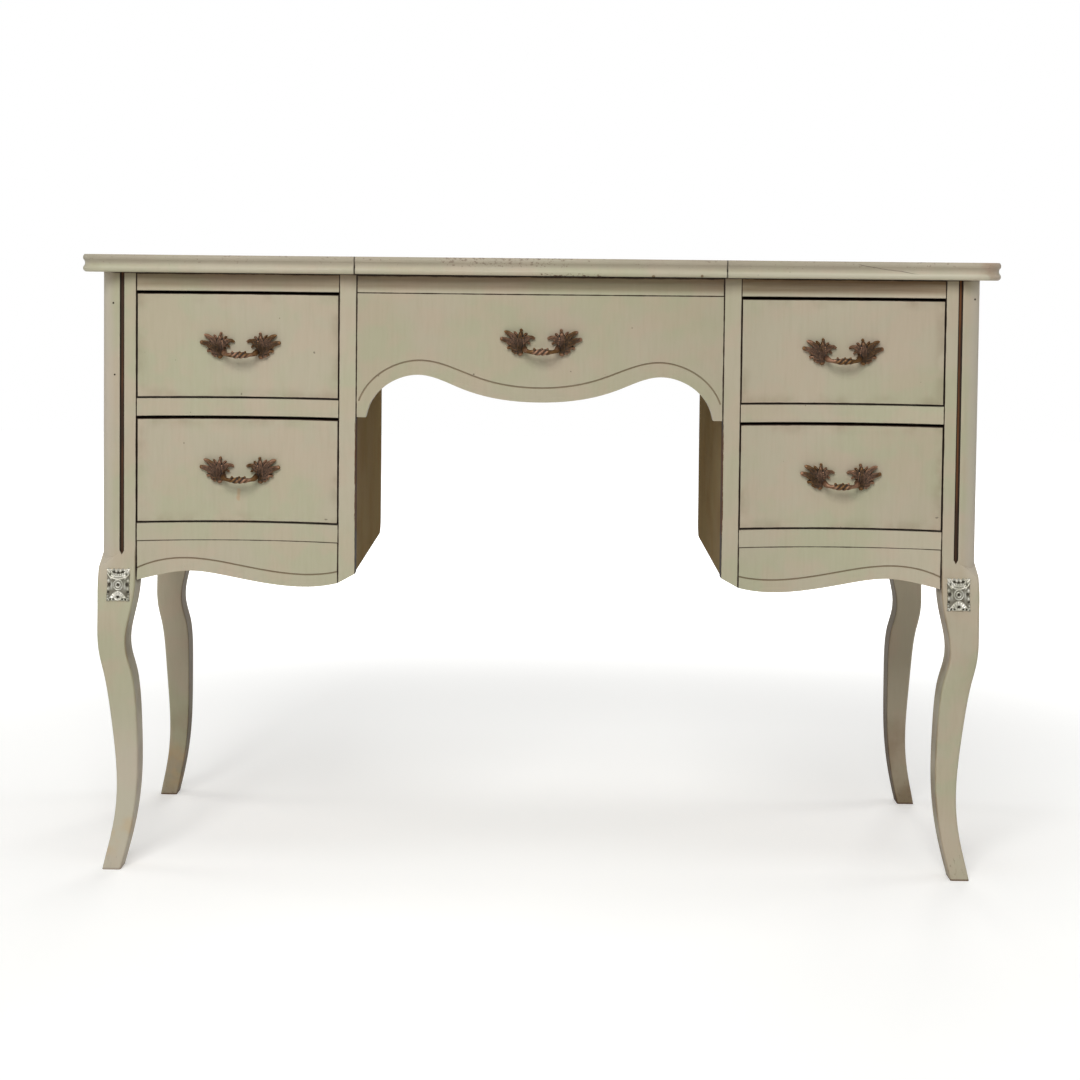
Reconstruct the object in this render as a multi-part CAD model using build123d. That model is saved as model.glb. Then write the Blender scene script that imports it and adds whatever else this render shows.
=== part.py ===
"""Dressing table (poudreuse) with a lift-up mirror lid, two pedestals of drawers and cabriole legs.

Millimetres, +Z up, +X to the right as seen from the front, the front faces -Y.
The origin is on the floor, in the middle of the table's overall box in plan.
Each piece is modelled for the right half and mirrored where the left half has the same piece.
"""
from build123d import *
import math
import os

# ---------------------------------------------------------------- overall sizes
table_height = 762.0          # floor to the top's upper face
case_width = 1078.0           # over the corner posts
case_depth = 426.0            # front face of the posts to the rear face of the case
kneehole_width = 450.0        # between the inner stiles
centre_bow = 22.0             # how far the centre front swells forward
pedestal_hollow = 19.0        # how far each pedestal front is hollowed back

# ---------------------------------------------------------------- top
top_thickness = 21.5
top_side_overhang = 22.0
top_front_overhang = 25.0
top_rear_overhang = 8.0
top_corner_radius = 30.0
nose_setback = 1.8            # the upper nose ends this far inside the edge on the top's upper face
nose_drop = 3.4               # the upper nose is fullest this far below the upper face
lip_drop = 6.4                # where the nose passes into the cove, below the upper face
lip_depth = 0.5
cove_depth = 2.4              # deepest point of the cove behind the edge
cove_middle = 11.0            # above the top's under face
bead_radius = 4.5
bead_turn = math.radians(35)  # how far the lower bead turns back into the cove
moulding_margin = 3.0         # waste that the moulding cut takes outside the edge
lid_side_gap = 1.0
lid_rest_gap = 0.4            # under the lid when it is down
top_seam_inset = 1.6          # the side tops stop this far outside the kneehole line

# ---------------------------------------------------------------- posts and legs
post_width = 44.0
post_depth = 44.0
post_corner_radius = 22.0
corner_waste_reach = 6.0      # how far the corner's cut reaches outside the post
post_edge_radius = 1.5
knee_top = 402.0              # where the straight post ends
round_stop_drop = 16.0        # how far the sloping stop of the rounded corner falls to the arris
round_stop_top = 394.0
flute_width = 5.5
flute_depth = 3.0
flute_inset = 15.0            # from the post's inner edge
flute_bottom = 397.5
flute_tip = 5.0
leg_edge_radius = 3.0
# height, outward swell, inward recess, forward swell, depth of the leg
leg_stations = (
    (0.0, -2.5, 18.5, 2.0, 33.0),
    (30.0, -9.3, 11.0, -2.3, 35.0),
    (70.0, -16.3, 3.5, -8.0, 36.0),
    (115.0, -17.8, -0.5, -10.3, 36.5),
    (165.0, -14.3, -0.8, -7.3, 38.0),
    (250.0, -3.4, 5.3, 4.5, 41.0),
    (300.0, 3.0, 10.2, 8.0, 43.0),
    (335.0, 3.0, 3.0, 7.0, 46.0),
    (368.0, 3.0, 0.5, 2.4, 45.8),
    (386.0, 1.1, 0.4, 0.7, 44.1),
)
rear_leg_inset = 4.0          # the rear legs stand this much nearer to the middle
rear_inset_run = 60.0         # height below the knee's top over which they lean in

# ---------------------------------------------------------------- case
stile_width = 21.0
stile_depth = 22.0
stile_foot_rise = 11.7        # the stile's foot is higher on the kneehole side
top_rail_height = 22.5
mid_rail_height = 22.0
bottom_rail_height = 22.0
rail_depth = 60.0
drawer_opening_height = 132.0
apron_thickness = 20.0
inner_side_thickness = 16.0
inner_side_drop = 36.0        # below the apron's top
inner_side_corner = 20.0
outer_side_thickness = 18.0
outer_side_inset = 3.0
outer_side_foot = 378.0
outer_side_arch = 12.0
back_thickness = 6.0
back_inset = 2.0
back_rebate = 7.0
back_drop = 18.0              # below the apron's top
carved_line_width = 2.0
carved_line_depth = 1.2
# along the apron from stile to post, and how far below the apron's top the edge lies
apron_edge = ((0.0, 49.7), (0.2, 56.5), (0.55, 45.3), (0.78, 38.6), (0.9, 43.2), (1.0, 48.7))
apron_line = ((0.0, 35.5), (0.24, 40.7), (0.5, 31.5), (0.77, 22.3), (1.0, 34.0))

# ---------------------------------------------------------------- centre front and well
centre_front_thickness = 20.0
ear_width = 12.0
ear_drop = 152.5
# share of the half width, and how far below the panel's top the edge lies
centre_edge = ((0.0, 131.0), (0.42, 115.5), (0.655, 99.2), (0.83, 112.0))
centre_line = ((0.0, 113.4), (0.326, 102.3), (0.65, 81.5), (0.866, 98.0), (0.985, 132.5))
well_side_thickness = 12.0
well_bottom_thickness = 8.0
well_depth = 108.5
well_back_thickness = 12.0

# ---------------------------------------------------------------- lid, hinges, stays, mirror
rear_strip_depth = 72.0
hinge_axis_drop = 0.8         # below the top's upper face
lid_to_axis = 0.8
strip_to_axis = 1.2
hinge_length = 60.0
hinge_spacing = 300.0
barrel_radius = 2.2
barrel_clearance = 0.4
knuckle_notch = 0.2
knuckle_count = 5
knuckle_gap = 0.3
pin_radius = 0.9
pin_clearance = 0.05
leaf_thickness = 1.2
leaf_height = 18.0
leaf_fit = 0.1                # play of a leaf in its gain
hinge_screws_per_leaf = 3
hinge_screw_pitch = 20.0
wood_screw_head = 4.6
wood_screw_shank = 2.4
wood_screw_length = 12.0
stay_radius = 70.0
stay_width = 6.0
stay_thickness = 2.5
lid_opening = 100.0           # degrees
stay_start = 14.0             # degrees below the closed lid, seen from the hinge
stay_foot_length = 30.0
stay_foot_width = 14.0
stay_foot_thickness = 2.0
stay_stop_radius = 4.0
stay_stop_width = 6.0
stay_stop_gap = 0.5           # between the stop and the guide when the lid is fully open
stay_side_gap = 8.0           # from the well's side to the stay
guide_angle = 26.0
guide_height = 6.0
guide_wall = 2.5
guide_clearance = 0.5
mirror_frame_width = 26.0
mirror_frame_thickness = 12.0
mirror_frame_chamfer = 3.0
mirror_front_margin = 30.0
mirror_rear_margin = 26.0
mirror_side_margin = 22.0
mirror_lap = 6.0              # how far the frame laps over the glass
mirror_glass_thickness = 4.0
mirror_backing_thickness = 3.0
mirror_play = 0.2

# ---------------------------------------------------------------- drawers
drawer_side_gap = 1.2
drawer_top_gap = 3.2
drawer_bottom_gap = 1.5
drawer_front_thickness = 18.0  # at the middle of the hollow
drawer_wall = 10.0
drawer_wall_height = 108.0
drawer_ride_gap = 0.5
drawer_rear_gap = 20.0
drawer_bottom_thickness = 4.0
drawer_bottom_rise = 9.0
drawer_groove = 5.0
groove_play = 0.2
runner_width = 16.0
guide_strip_rise = 30.0

# ---------------------------------------------------------------- pulls and rosettes
pull_screw_spacing = 54.0
pull_screw_radius = 2.0
pull_screw_play = 0.2
pull_screw_head_radius = 4.0
pull_screw_head_height = 2.5
pull_screw_bite = 4.0
pull_leaf_thickness = 6.0
pull_leaf_round = 0.9
pull_seat_depth = 3.0         # waste behind the casting, taken off by the front it sits on
pull_boss_radius = 6.5
pull_boss_height = 2.6
pull_bar_radius = 2.5
pull_bar_reach = 19.0         # from the front's face to the middle of the bar
pull_bar_half_length = 15.0
pull_bar_root = 21.5
pull_bar_root_height = -4.0
pull_bar_drop = 7.5
pull_bar_bend = 6.0
pull_knot_radius = 3.6        # middle ball of the bar's knot
pull_bead_radius = 3.1        # smaller ball on each side of it
pull_knot_pitch = 6.1
centre_pull_rise = 9.0        # above the middle of the pull height shared by the upper drawers
# outline of one leaf cluster, from the inner tip clockwise: across, up
pull_leaf_outline = (
    (9.2, 6.0), (14.5, 8.6), (19.8, 9.2), (23.4, 16.3), (27.6, 10.2), (35.5, 11.4), (42.2, 12.6),
    (43.4, 8.2), (49.8, 4.9), (43.5, 0.6), (36.5, -1.6), (39.4, -6.2), (30.8, -8.8),
    (25.6, -15.4), (21.2, -10.4), (19.6, -3.6), (14.2, -2.2), (13.0, 2.6),
)
rosette_width = 29.5
rosette_height = 41.0
rosette_thickness = 3.4
rosette_waist = 2.6
rosette_boss_radius = 5.0
rosette_leaf_radius = 3.4
rosette_centre_height = 355.5
rosette_from_inner_edge = 21.0
rosette_lean = 9.0            # degrees, following the knee

# ---------------------------------------------------------------- derived places
overall_depth = top_rear_overhang + case_depth + centre_bow + top_front_overhang
front_y = -overall_depth / 2 + top_front_overhang + centre_bow
rear_y = front_y + case_depth
top_rear_y = rear_y + top_rear_overhang
case_half = case_width / 2
kneehole_half = kneehole_width / 2
top_half = case_half + top_side_overhang
top_under = table_height - top_thickness
post_inner = case_half - post_width
stile_outer = kneehole_half + stile_width
bay_width = post_inner - stile_outer
bay_middle = (post_inner + stile_outer) / 2
upper_opening_top = top_under - top_rail_height
upper_opening_bottom = upper_opening_top - drawer_opening_height
lower_opening_top = upper_opening_bottom - mid_rail_height
lower_opening_bottom = lower_opening_top - drawer_opening_height
apron_top = lower_opening_bottom - bottom_rail_height
inner_side_foot = apron_top - inner_side_drop
back_bottom = apron_top - back_drop
centre_top = upper_opening_top
hinge_y = top_rear_y - rear_strip_depth
hinge_z = table_height - hinge_axis_drop
seam_x = kneehole_half + top_seam_inset
lid_half = seam_x - lid_side_gap
lid_under = top_under + lid_rest_gap
well_floor = top_under - well_depth
stay_stop_reach = guide_height / 2 + stay_stop_radius + stay_stop_gap
stay_end = guide_angle + lid_opening + math.degrees(stay_stop_reach / stay_radius)
well_inner_half = kneehole_half - well_side_thickness
well_back_y = rear_y - well_back_thickness
bow_radius = (kneehole_half**2 + centre_bow**2) / (2 * centre_bow)
bow_centre_y = front_y - centre_bow + bow_radius
hollow_radius = ((bay_width / 2) ** 2 + pedestal_hollow**2) / (2 * pedestal_hollow)
hollow_centre_y = front_y + pedestal_hollow - hollow_radius


# ---------------------------------------------------------------- small helpers
def block(x0, x1, y0, y1, z0, z1):
    """A box between two corners."""
    return Pos((x0 + x1) / 2, (y0 + y1) / 2, (z0 + z1) / 2) * Box(x1 - x0, y1 - y0, z1 - z0)


def rod(x0, x1, y, z, radius):
    """A round bar along X."""
    return Pos((x0 + x1) / 2, y, z) * Rot(0, 90, 0) * Cylinder(radius, x1 - x0)


def rod_y(x, y0, y1, z, radius):
    """A round bar along Y."""
    return Pos(x, (y0 + y1) / 2, z) * Rot(90, 0, 0) * Cylinder(radius, y1 - y0)


def upright(face_edges, y0, y1):
    """A flat outline in X and Z, drawn as edges with Z as their second value, made solid from y0 to y1."""
    face = make_face(face_edges)
    return extrude(Plane(origin=(0, y1, 0), x_dir=(1, 0, 0), z_dir=(0, -1, 0)) * face, amount=y1 - y0)


def plan(face_edges, z0, z1):
    """A flat outline in X and Y made solid from z0 to z1."""
    return extrude(Pos(0, 0, z0) * make_face(face_edges), amount=z1 - z0)


def other_side(part):
    """The same piece on the left half."""
    return mirror(part, about=Plane.YZ)


def both_sides(part):
    """A node with the piece on the right and its twin on the left."""
    return Compound(children=[*part.solids(), *other_side(part).solids()])


def save(name, part):
    """Write one node."""
    part.label = name
    export_step(part, f"parts/{name}.step")


# ---------------------------------------------------------------- front curves in plan
def bow_y(x, forward=0.0):
    """Y of the centre front's swelling face at x, moved forward by a distance."""
    return bow_centre_y - math.sqrt((bow_radius + forward) ** 2 - x**2)


def hollow_y(x, back=0.0):
    """Y of a pedestal's hollow face at x, moved back by a distance."""
    return hollow_centre_y + math.sqrt((hollow_radius + back) ** 2 - (x - bay_middle) ** 2)


def hollow_arc(x0, x1, back=0.0):
    """The pedestal's hollow front line between two places."""
    middle = (x0 + x1) / 2
    return ThreePointArc((x0, hollow_y(x0, back)), (middle, hollow_y(middle, back)), (x1, hollow_y(x1, back)))


def bow_arc(half, forward=0.0):
    """The centre's swelling front line over a half width."""
    return ThreePointArc(
        (-half, bow_y(half, forward)), (0, bow_y(0, forward)), (half, bow_y(half, forward)))


def closed_plan(front_arc, back_y, z0, z1):
    """A front arc closed by straight ends and a straight back, made solid."""
    start, end = front_arc @ 0, front_arc @ 1
    outline = [front_arc, Line((end.X, end.Y), (end.X, back_y)), Line((end.X, back_y), (start.X, back_y)),
               Line((start.X, back_y), (start.X, start.Y))]
    return plan(outline, z0, z1)


def skin(front_arc, back_arc, z0, z1):
    """The layer between two front lines."""
    a0, a1, b0, b1 = front_arc @ 0, front_arc @ 1, back_arc @ 0, back_arc @ 1
    return plan([front_arc, Line(a1, b1), back_arc, Line(b0, a0)], z0, z1)


# ---------------------------------------------------------------- posts and legs
def leg_section(station):
    """One rounded cross-section of the right front leg."""
    height, outward, recess, forward, depth = station
    x0 = post_inner + recess
    x1 = case_half + outward
    y0 = front_y - forward
    plane = Plane(origin=((x0 + x1) / 2, y0 + depth / 2, height))
    return plane * RectangleRounded(x1 - x0, depth, leg_edge_radius)


def leg_levels():
    """The leg's stations with the one where it meets the post."""
    return (*leg_stations, (knee_top, 0.0, 0.0, 0.0, post_depth))


def nearer(station, inset):
    """A station moved towards the middle of the table, by its full inset well below the knee's top."""
    height, outward, recess, forward, depth = station
    lean = inset * min(1.0, (knee_top - height) / rear_inset_run)
    return height, outward - lean, recess - lean, forward, depth


def plain_leg(inset=0.0):
    """Post and cabriole leg without the front's ornament, at the right front corner."""
    leg = loft([leg_section(nearer(station, inset)) for station in leg_levels()])
    post = block(post_inner, case_half, front_y, front_y + post_depth, knee_top, top_under)
    post = fillet(post.edges().filter_by(Axis.Z), post_edge_radius)
    return leg + post


def rounded_corner_waste():
    """What the post's rounded outer corner loses, down to the sloping stop."""
    centre_x = case_half - post_corner_radius
    centre_y = front_y + post_corner_radius
    reach = corner_waste_reach
    waste = block(centre_x, case_half + reach, front_y - reach, centre_y,
                  round_stop_top - 2 * round_stop_drop - reach, top_under + reach)
    waste -= Pos(centre_x, centre_y, top_under / 2) * Cylinder(post_corner_radius, table_height)
    stop = Plane(origin=(centre_x, front_y, round_stop_top),
                 x_dir=(1, 1, 0), z_dir=(round_stop_drop, -round_stop_drop, post_corner_radius))
    return split(waste, bisect_by=stop, keep=Keep.TOP)


def flute_waste():
    """The dark flute beside the rounded corner, with its pointed lower tip."""
    x0 = post_inner + flute_inset
    x1 = x0 + flute_width
    tip = (x0 + x1) / 2
    outline = Polyline((x0, top_under), (x1, top_under), (x1, flute_bottom),
                       (tip, flute_bottom - flute_tip), (x0, flute_bottom), close=True)
    return upright(outline, front_y - flute_depth, front_y + flute_depth)


def front_leg():
    """Right front post and leg."""
    return plain_leg() - rounded_corner_waste() - flute_waste()


def rear_leg():
    """Right rear post and leg: the front one turned to face the rear, rebated for the back."""
    leg = mirror(plain_leg(rear_leg_inset), about=Plane.XZ.offset(-(front_y + rear_y) / 2))
    return leg - back_room()


# ---------------------------------------------------------------- case panels and rails
def back_room():
    """The space of a pedestal's back in its rebates."""
    return block(stile_outer - back_rebate, post_inner + back_rebate, rear_y - back_inset - back_thickness,
                 rear_y - back_inset, back_bottom, top_under)


def inner_stile():
    """Upright beside the kneehole; its foot slopes up towards the kneehole."""
    foot = apron_top - apron_edge[0][1]
    outline = Polyline((kneehole_half, top_under), (stile_outer, top_under), (stile_outer, foot),
                       (kneehole_half, foot + stile_foot_rise), close=True)
    return upright(outline, front_y, front_y + stile_depth)


def inner_side():
    """Kneehole side panel, its rear lower corner rounded."""
    y0 = front_y + stile_depth
    panel = block(kneehole_half, kneehole_half + inner_side_thickness, y0, rear_y, inner_side_foot, top_under)
    corner = panel.edges().filter_by(Axis.X).group_by(Axis.Y)[-1].sort_by(Axis.Z)[0]
    return fillet(corner, inner_side_corner) - back_room()


def outer_side():
    """End panel between the posts, with a shallow arch along its lower edge."""
    y0, y1 = front_y + post_depth, rear_y - post_depth
    x1 = case_half - outer_side_inset
    foot = outer_side_foot
    arch = ThreePointArc((y0, foot), ((y0 + y1) / 2, foot + outer_side_arch), (y1, foot))
    outline = [arch, Line((y1, foot), (y1, top_under)), Line((y1, top_under), (y0, top_under)),
               Line((y0, top_under), (y0, foot))]
    face = Plane(origin=(x1, 0, 0), x_dir=(0, 1, 0), z_dir=(1, 0, 0)) * make_face(outline)
    return extrude(face, amount=-outer_side_thickness)


def rail(z0, z1):
    """Front rail between stile and post, with the pedestal's hollow face."""
    return closed_plan(hollow_arc(stile_outer, post_inner), front_y + rail_depth, z0, z1)


def apron_points(stations):
    """Apron stations as places in X and Z."""
    return [(stile_outer + share * bay_width, apron_top - drop) for share, drop in stations]


def apron():
    """Shaped apron under the bottom rail, with a carved line along its edge."""
    edge = Spline(*apron_points(apron_edge))
    start, end = edge @ 0, edge @ 1
    outline = [edge, Line((end.X, end.Y), (end.X, apron_top)), Line((end.X, apron_top), (start.X, apron_top)),
               Line((start.X, apron_top), (start.X, start.Y))]
    reach = pedestal_hollow + apron_thickness
    board = upright(outline, front_y - reach, front_y + 2 * reach)
    front = hollow_arc(stile_outer, post_inner)
    curve = skin(front, hollow_arc(stile_outer, post_inner, apron_thickness), 0, apron_top)
    return (board & curve) - carved_line(Spline(*apron_points(apron_line)),
                                         front, hollow_arc(stile_outer, post_inner, carved_line_depth), apron_top)


def carved_line(line, front, back, top):
    """A shallow groove that follows a line across a curved front."""
    ribbon = trace(line, line_width=carved_line_width)
    reach = centre_bow + pedestal_hollow + carved_line_depth
    plane = Plane(origin=(0, front_y + reach, 0), x_dir=(1, 0, 0), z_dir=(0, -1, 0))
    return extrude(plane * ribbon, amount=2 * reach) & skin(front, back, 0, top)


# ---------------------------------------------------------------- centre front and well
def mirrored(points):
    """Points on one half, given from the middle outwards, as one line from left to right."""
    left = [(-x, z) for x, z in reversed(points)]
    return left + points[1:] if points[0][0] == 0 else left + points


def centre_points(stations):
    """Centre stations as places in X and Z over the right half."""
    return [(share * kneehole_half, centre_top - drop) for share, drop in stations]


def centre_front():
    """Fixed front below the frieze rail: serpentine lower edge, flat ears, carved line."""
    ear_z = centre_top - ear_drop
    shape = centre_points(centre_edge) + [(kneehole_half - ear_width, ear_z)]
    edge = Spline(*mirrored(shape))
    outline = [edge, Polyline((kneehole_half - ear_width, ear_z), (kneehole_half, ear_z),
                              (kneehole_half, centre_top), (-kneehole_half, centre_top),
                              (-kneehole_half, ear_z), (ear_width - kneehole_half, ear_z))]
    reach = centre_bow + centre_front_thickness
    board = upright(outline, front_y - reach, front_y + reach)
    front = bow_arc(kneehole_half)
    curve = skin(front, bow_arc(kneehole_half, -centre_front_thickness), 0, centre_top)
    line = Spline(*mirrored(centre_points(centre_line)))
    groove = carved_line(line, front, bow_arc(kneehole_half, -carved_line_depth), centre_top)
    return (board & curve) - groove


def centre_rail():
    """Frieze rail over the centre front."""
    return skin(bow_arc(kneehole_half), bow_arc(kneehole_half, -centre_front_thickness), centre_top, top_under)


def well_side():
    """Right side of the well; the lid rests on it."""
    y0 = front_y + stile_depth
    return block(well_inner_half, kneehole_half, y0, well_back_y, well_floor, top_under)


def well_bottom():
    """Bottom of the well, fitted to the back of the centre front."""
    front = bow_arc(kneehole_half, -centre_front_thickness)
    return closed_plan(front, well_back_y, well_floor - well_bottom_thickness, well_floor)


def well_back():
    """Back of the well, between the kneehole sides."""
    return block(-kneehole_half, kneehole_half, well_back_y, rear_y,
                 well_floor - well_bottom_thickness, top_under)


# ---------------------------------------------------------------- top
def side_top_lines(extra=0.0):
    """Front and side lines of the right top: hollow arc, round corner, straight end.

    The hollow ends where the corner starts, and its slope there sets how wide the corner is,
    so the two are settled together by repeating the step.
    """
    start_y = bow_y(seam_x, top_front_overhang + extra)
    trough_y = front_y + pedestal_hollow - top_front_overhang - extra
    side_x = top_half + extra
    radius = top_corner_radius + extra
    slope = 0.0
    for _ in range(12):
        end_x = side_x - radius * (1 + math.sin(slope))
        slope = 2 * math.atan(2 * (trough_y - start_y) / (end_x - seam_x))
    hollow = ThreePointArc((seam_x, start_y), ((seam_x + end_x) / 2, trough_y), (end_x, start_y))
    corner = JernArc(start=hollow @ 1, tangent=hollow % 1, radius=radius, arc_size=90 + math.degrees(slope))
    side = Line(corner @ 1, (side_x, top_rear_y + (moulding_margin if extra == 0 else 0)))
    return hollow, corner, side


def begun_earlier(arc, run):
    """The same arc with its start moved back along its own circle."""
    centre = arc.arc_center
    ahead = arc @ 0 - (arc % 0) * run
    start = centre + (ahead - centre).normalized() * arc.radius
    return ThreePointArc(start, arc @ 0.5, arc @ 1)


def moulding_waste(path):
    """What the edge moulding removes: it leaves a soft upper nose, a shallow cove and a round lower bead.

    In the section, X runs into the top from its edge and Y up from its lower face.
    """
    r, t = bead_radius, top_thickness
    bead_end = (r * (1 - math.cos(bead_turn)), r * (1 + math.sin(bead_turn)))
    lip = (lip_depth, t - lip_drop)
    nose_end = (nose_setback, t)
    outside, above = -moulding_margin / 2, moulding_margin / 3
    outline = [
        Polyline((outside, -above), (r, -above), (r, 0)),
        ThreePointArc((r, 0), (0, r), bead_end),
        ThreePointArc(bead_end, (cove_depth, cove_middle), lip),
        ThreePointArc(lip, (0, t - nose_drop), nose_end),
        Polyline(nose_end, (nose_setback, t + above), (outside, t + above), (outside, -above)),
    ]
    tangent = path % 0
    start = path @ 0
    inward = Vector(0, 0, 1).cross(tangent)
    plane = Plane(origin=(start.X, start.Y, 0), x_dir=inward, z_dir=tangent)
    return sweep(plane * make_face(outline), path=path)


def top_side():
    """Right fixed part of the top."""
    hollow, corner, side = side_top_lines(extra=1.0)
    end, start = side @ 1, hollow @ 0
    rear = Polyline((end.X, end.Y), (seam_x, top_rear_y), (seam_x, start.Y))
    slab = plan([hollow, corner, side, rear], 0, top_thickness)
    hollow, corner, side = side_top_lines()
    slab -= moulding_waste(Wire([begun_earlier(hollow, moulding_margin), corner, side]))
    return Pos(0, 0, top_under) * slab


def lid():
    """Lift-up part of the top, with gains for its hinge leaves."""
    thickness = top_thickness - lid_rest_gap
    slab = closed_plan(bow_arc(lid_half, top_front_overhang + 1.0), hinge_y - lid_to_axis, 0, top_thickness)
    slab -= moulding_waste(Wire([bow_arc(lid_half + moulding_margin, top_front_overhang)]))
    slab = Pos(0, 0, top_under) * slab
    slab &= block(-top_half, top_half, -overall_depth, overall_depth, table_height - thickness, table_height)
    for x in hinge_places():
        slab -= barrel_room(x)
        slab -= leaf_plate(x, -1, leaf_fit)
        for screw in leaf_screws(x, -1):
            slab -= screw
    return slab


def rear_strip():
    """Fixed strip of the top behind the lid, with gains for the hinge leaves."""
    strip = block(-seam_x, seam_x, hinge_y + strip_to_axis, top_rear_y, top_under, table_height)
    for x in hinge_places():
        strip -= barrel_room(x)
        strip -= leaf_plate(x, 1, leaf_fit)
        for screw in leaf_screws(x, 1):
            strip -= screw
    return strip


# ---------------------------------------------------------------- hinges
def hinge_places():
    """Middles of the two hinges along X."""
    return (-hinge_spacing / 2, hinge_spacing / 2)


def barrel_room(x):
    """Round recess that clears a hinge's barrel."""
    half = hinge_length / 2 + barrel_clearance
    return rod(x - half, x + half, hinge_y, hinge_z, barrel_radius + barrel_clearance)


def leaf_face(side):
    """Y of the wood's edge that a leaf is let into: -1 for the lid, 1 for the fixed strip."""
    return hinge_y - lid_to_axis if side < 0 else hinge_y + strip_to_axis


def leaf_plate(x, side, play=0.0):
    """The flat of one hinge leaf, flush with the wood's edge."""
    face = leaf_face(side)
    half = hinge_length / 2 + play
    y0, y1 = sorted((face, face + side * (leaf_thickness + play)))
    return block(x - half, x + half, y0, y1, hinge_z - leaf_height - play, hinge_z)


def knuckle(x, index, play=0.0, radius=barrel_radius):
    """One length of the barrel."""
    pitch = hinge_length / knuckle_count
    start = x - hinge_length / 2 + index * pitch
    return rod(start + knuckle_gap / 2 - play, start + pitch - knuckle_gap / 2 + play, hinge_y, hinge_z, radius)


def leaf_screws(x, side):
    """Countersunk screws of one leaf, driven along Y."""
    screws = []
    face = leaf_face(side)
    middle = hinge_z - leaf_height * 0.6
    cone_depth = (wood_screw_head - wood_screw_shank) / 2
    for index in range(hinge_screws_per_leaf):
        place = x + (index - (hinge_screws_per_leaf - 1) / 2) * hinge_screw_pitch
        head = Cone(wood_screw_shank / 2, wood_screw_head / 2, cone_depth)
        head = Pos(place, face + side * cone_depth / 2, middle) * Rot(90 * side, 0, 0) * head
        y0, y1 = sorted((face + side * cone_depth / 2, face + side * wood_screw_length))
        screws.append(head + rod_y(place, y0, y1, middle, wood_screw_shank / 2))
    return screws


def leaves(side):
    """Both leaves of one side: plate, its knuckles and the notches that clear the others."""
    result = []
    own = [i for i in range(knuckle_count) if i % 2 == (1 if side < 0 else 0)]
    for x in hinge_places():
        leaf = leaf_plate(x, side)
        for index in range(knuckle_count):
            if index not in own:
                leaf -= knuckle(x, index, knuckle_gap, barrel_radius + knuckle_notch)
        for index in own:
            leaf += knuckle(x, index)
        leaf -= rod(x - hinge_length, x + hinge_length, hinge_y, hinge_z, pin_radius + pin_clearance)
        for screw in leaf_screws(x, side):
            leaf -= screw
        result += leaf.solids()
    return Compound(children=result)


def hinge_pins():
    """Pins of both hinges."""
    half = hinge_length / 2
    return Compound(children=[rod(x - half, x + half, hinge_y, hinge_z, pin_radius).solid()
                              for x in hinge_places()])


def hinge_screws(side):
    """All screws of one side's leaves."""
    return Compound(children=[s.solid() for x in hinge_places() for s in leaf_screws(x, side)])


# ---------------------------------------------------------------- stays
def about_hinge(part, angle):
    """Turn a piece drawn in front of the hinge line downwards about it."""
    return Pos(0, hinge_y, hinge_z) * Rot(angle, 0, 0) * part


def stay_x():
    """Middle of the right stay along X."""
    return well_inner_half - stay_side_gap - stay_thickness / 2


def stay():
    """Quadrant stay on the lid: foot, arc round the hinge line and a stop at its end."""
    x0, x1 = stay_x() - stay_thickness / 2, stay_x() + stay_thickness / 2
    outer, inner = stay_radius + stay_width / 2, stay_radius - stay_width / 2
    ring = rod(x0, x1, 0, 0, outer) - rod(x0 - 1, x1 + 1, 0, 0, inner)
    sweep_angle = stay_end - stay_start
    sector = extrude(Plane(origin=(x0, 0, 0), x_dir=(0, -1, 0), z_dir=(1, 0, 0))
                     * stay_sector(sweep_angle), amount=stay_thickness)
    arc = about_hinge(ring & sector, stay_start)
    knob = about_hinge(rod(stay_x() - stay_stop_width / 2, stay_x() + stay_stop_width / 2,
                           -stay_radius, 0, stay_stop_radius), stay_end)
    foot_y = hinge_y - stay_radius
    foot = block(x1 - stay_foot_width, x1, foot_y - stay_foot_length / 2, foot_y + stay_foot_length / 2,
                 lid_under - stay_foot_thickness, lid_under)
    below = block(0, top_half, -overall_depth, overall_depth, 0, lid_under)
    return (arc & below) + knob + foot


def stay_sector(angle):
    """A wide wedge that keeps the arc's share of a ring, from its own X axis towards its Y axis."""
    reach = 2 * stay_radius
    steps = 6
    points = [(0, 0)]
    for step in range(steps + 1):
        turn = math.radians(angle) * step / steps
        points.append((reach * math.cos(turn), reach * math.sin(turn)))
    return make_face(Polyline(*points, close=True))


def stay_guide():
    """Brass loop on the well's side that the stay passes through and its stop meets."""
    x0 = stay_x() - stay_thickness / 2 - guide_clearance - guide_wall
    half_height = guide_height / 2
    outer = stay_radius + stay_width / 2 + guide_clearance + guide_wall
    inner = stay_radius - stay_width / 2 - guide_clearance - guide_wall
    loop = block(x0, well_inner_half, -outer, -inner, -half_height, half_height)
    loop -= block(x0 + guide_wall, x0 + guide_wall + stay_thickness + 2 * guide_clearance,
                  -outer + guide_wall, -inner - guide_wall, -guide_height, guide_height)
    return about_hinge(loop, guide_angle)


# ---------------------------------------------------------------- mirror
def mirror_box(margin, z0, z1):
    """A plate within the mirror frame's outline, drawn in by a margin."""
    x1 = well_inner_half - mirror_side_margin - margin
    y0 = front_y + mirror_front_margin + margin
    return block(-x1, x1, y0, hinge_y - mirror_rear_margin - margin, z0, z1)


def mirror_frame():
    """Moulded frame under the lid, rebated for backing and glass."""
    z0, z1 = lid_under - mirror_frame_thickness, lid_under
    frame = mirror_box(0, z0, z1) - mirror_box(mirror_frame_width, z0 - 1, z1 + 1)
    rebate_depth = mirror_backing_thickness + mirror_glass_thickness
    frame -= mirror_box(mirror_frame_width - mirror_lap, z1 - rebate_depth, z1 + 1)
    return chamfer(frame.edges().group_by(Axis.Z)[0], mirror_frame_chamfer)


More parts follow.
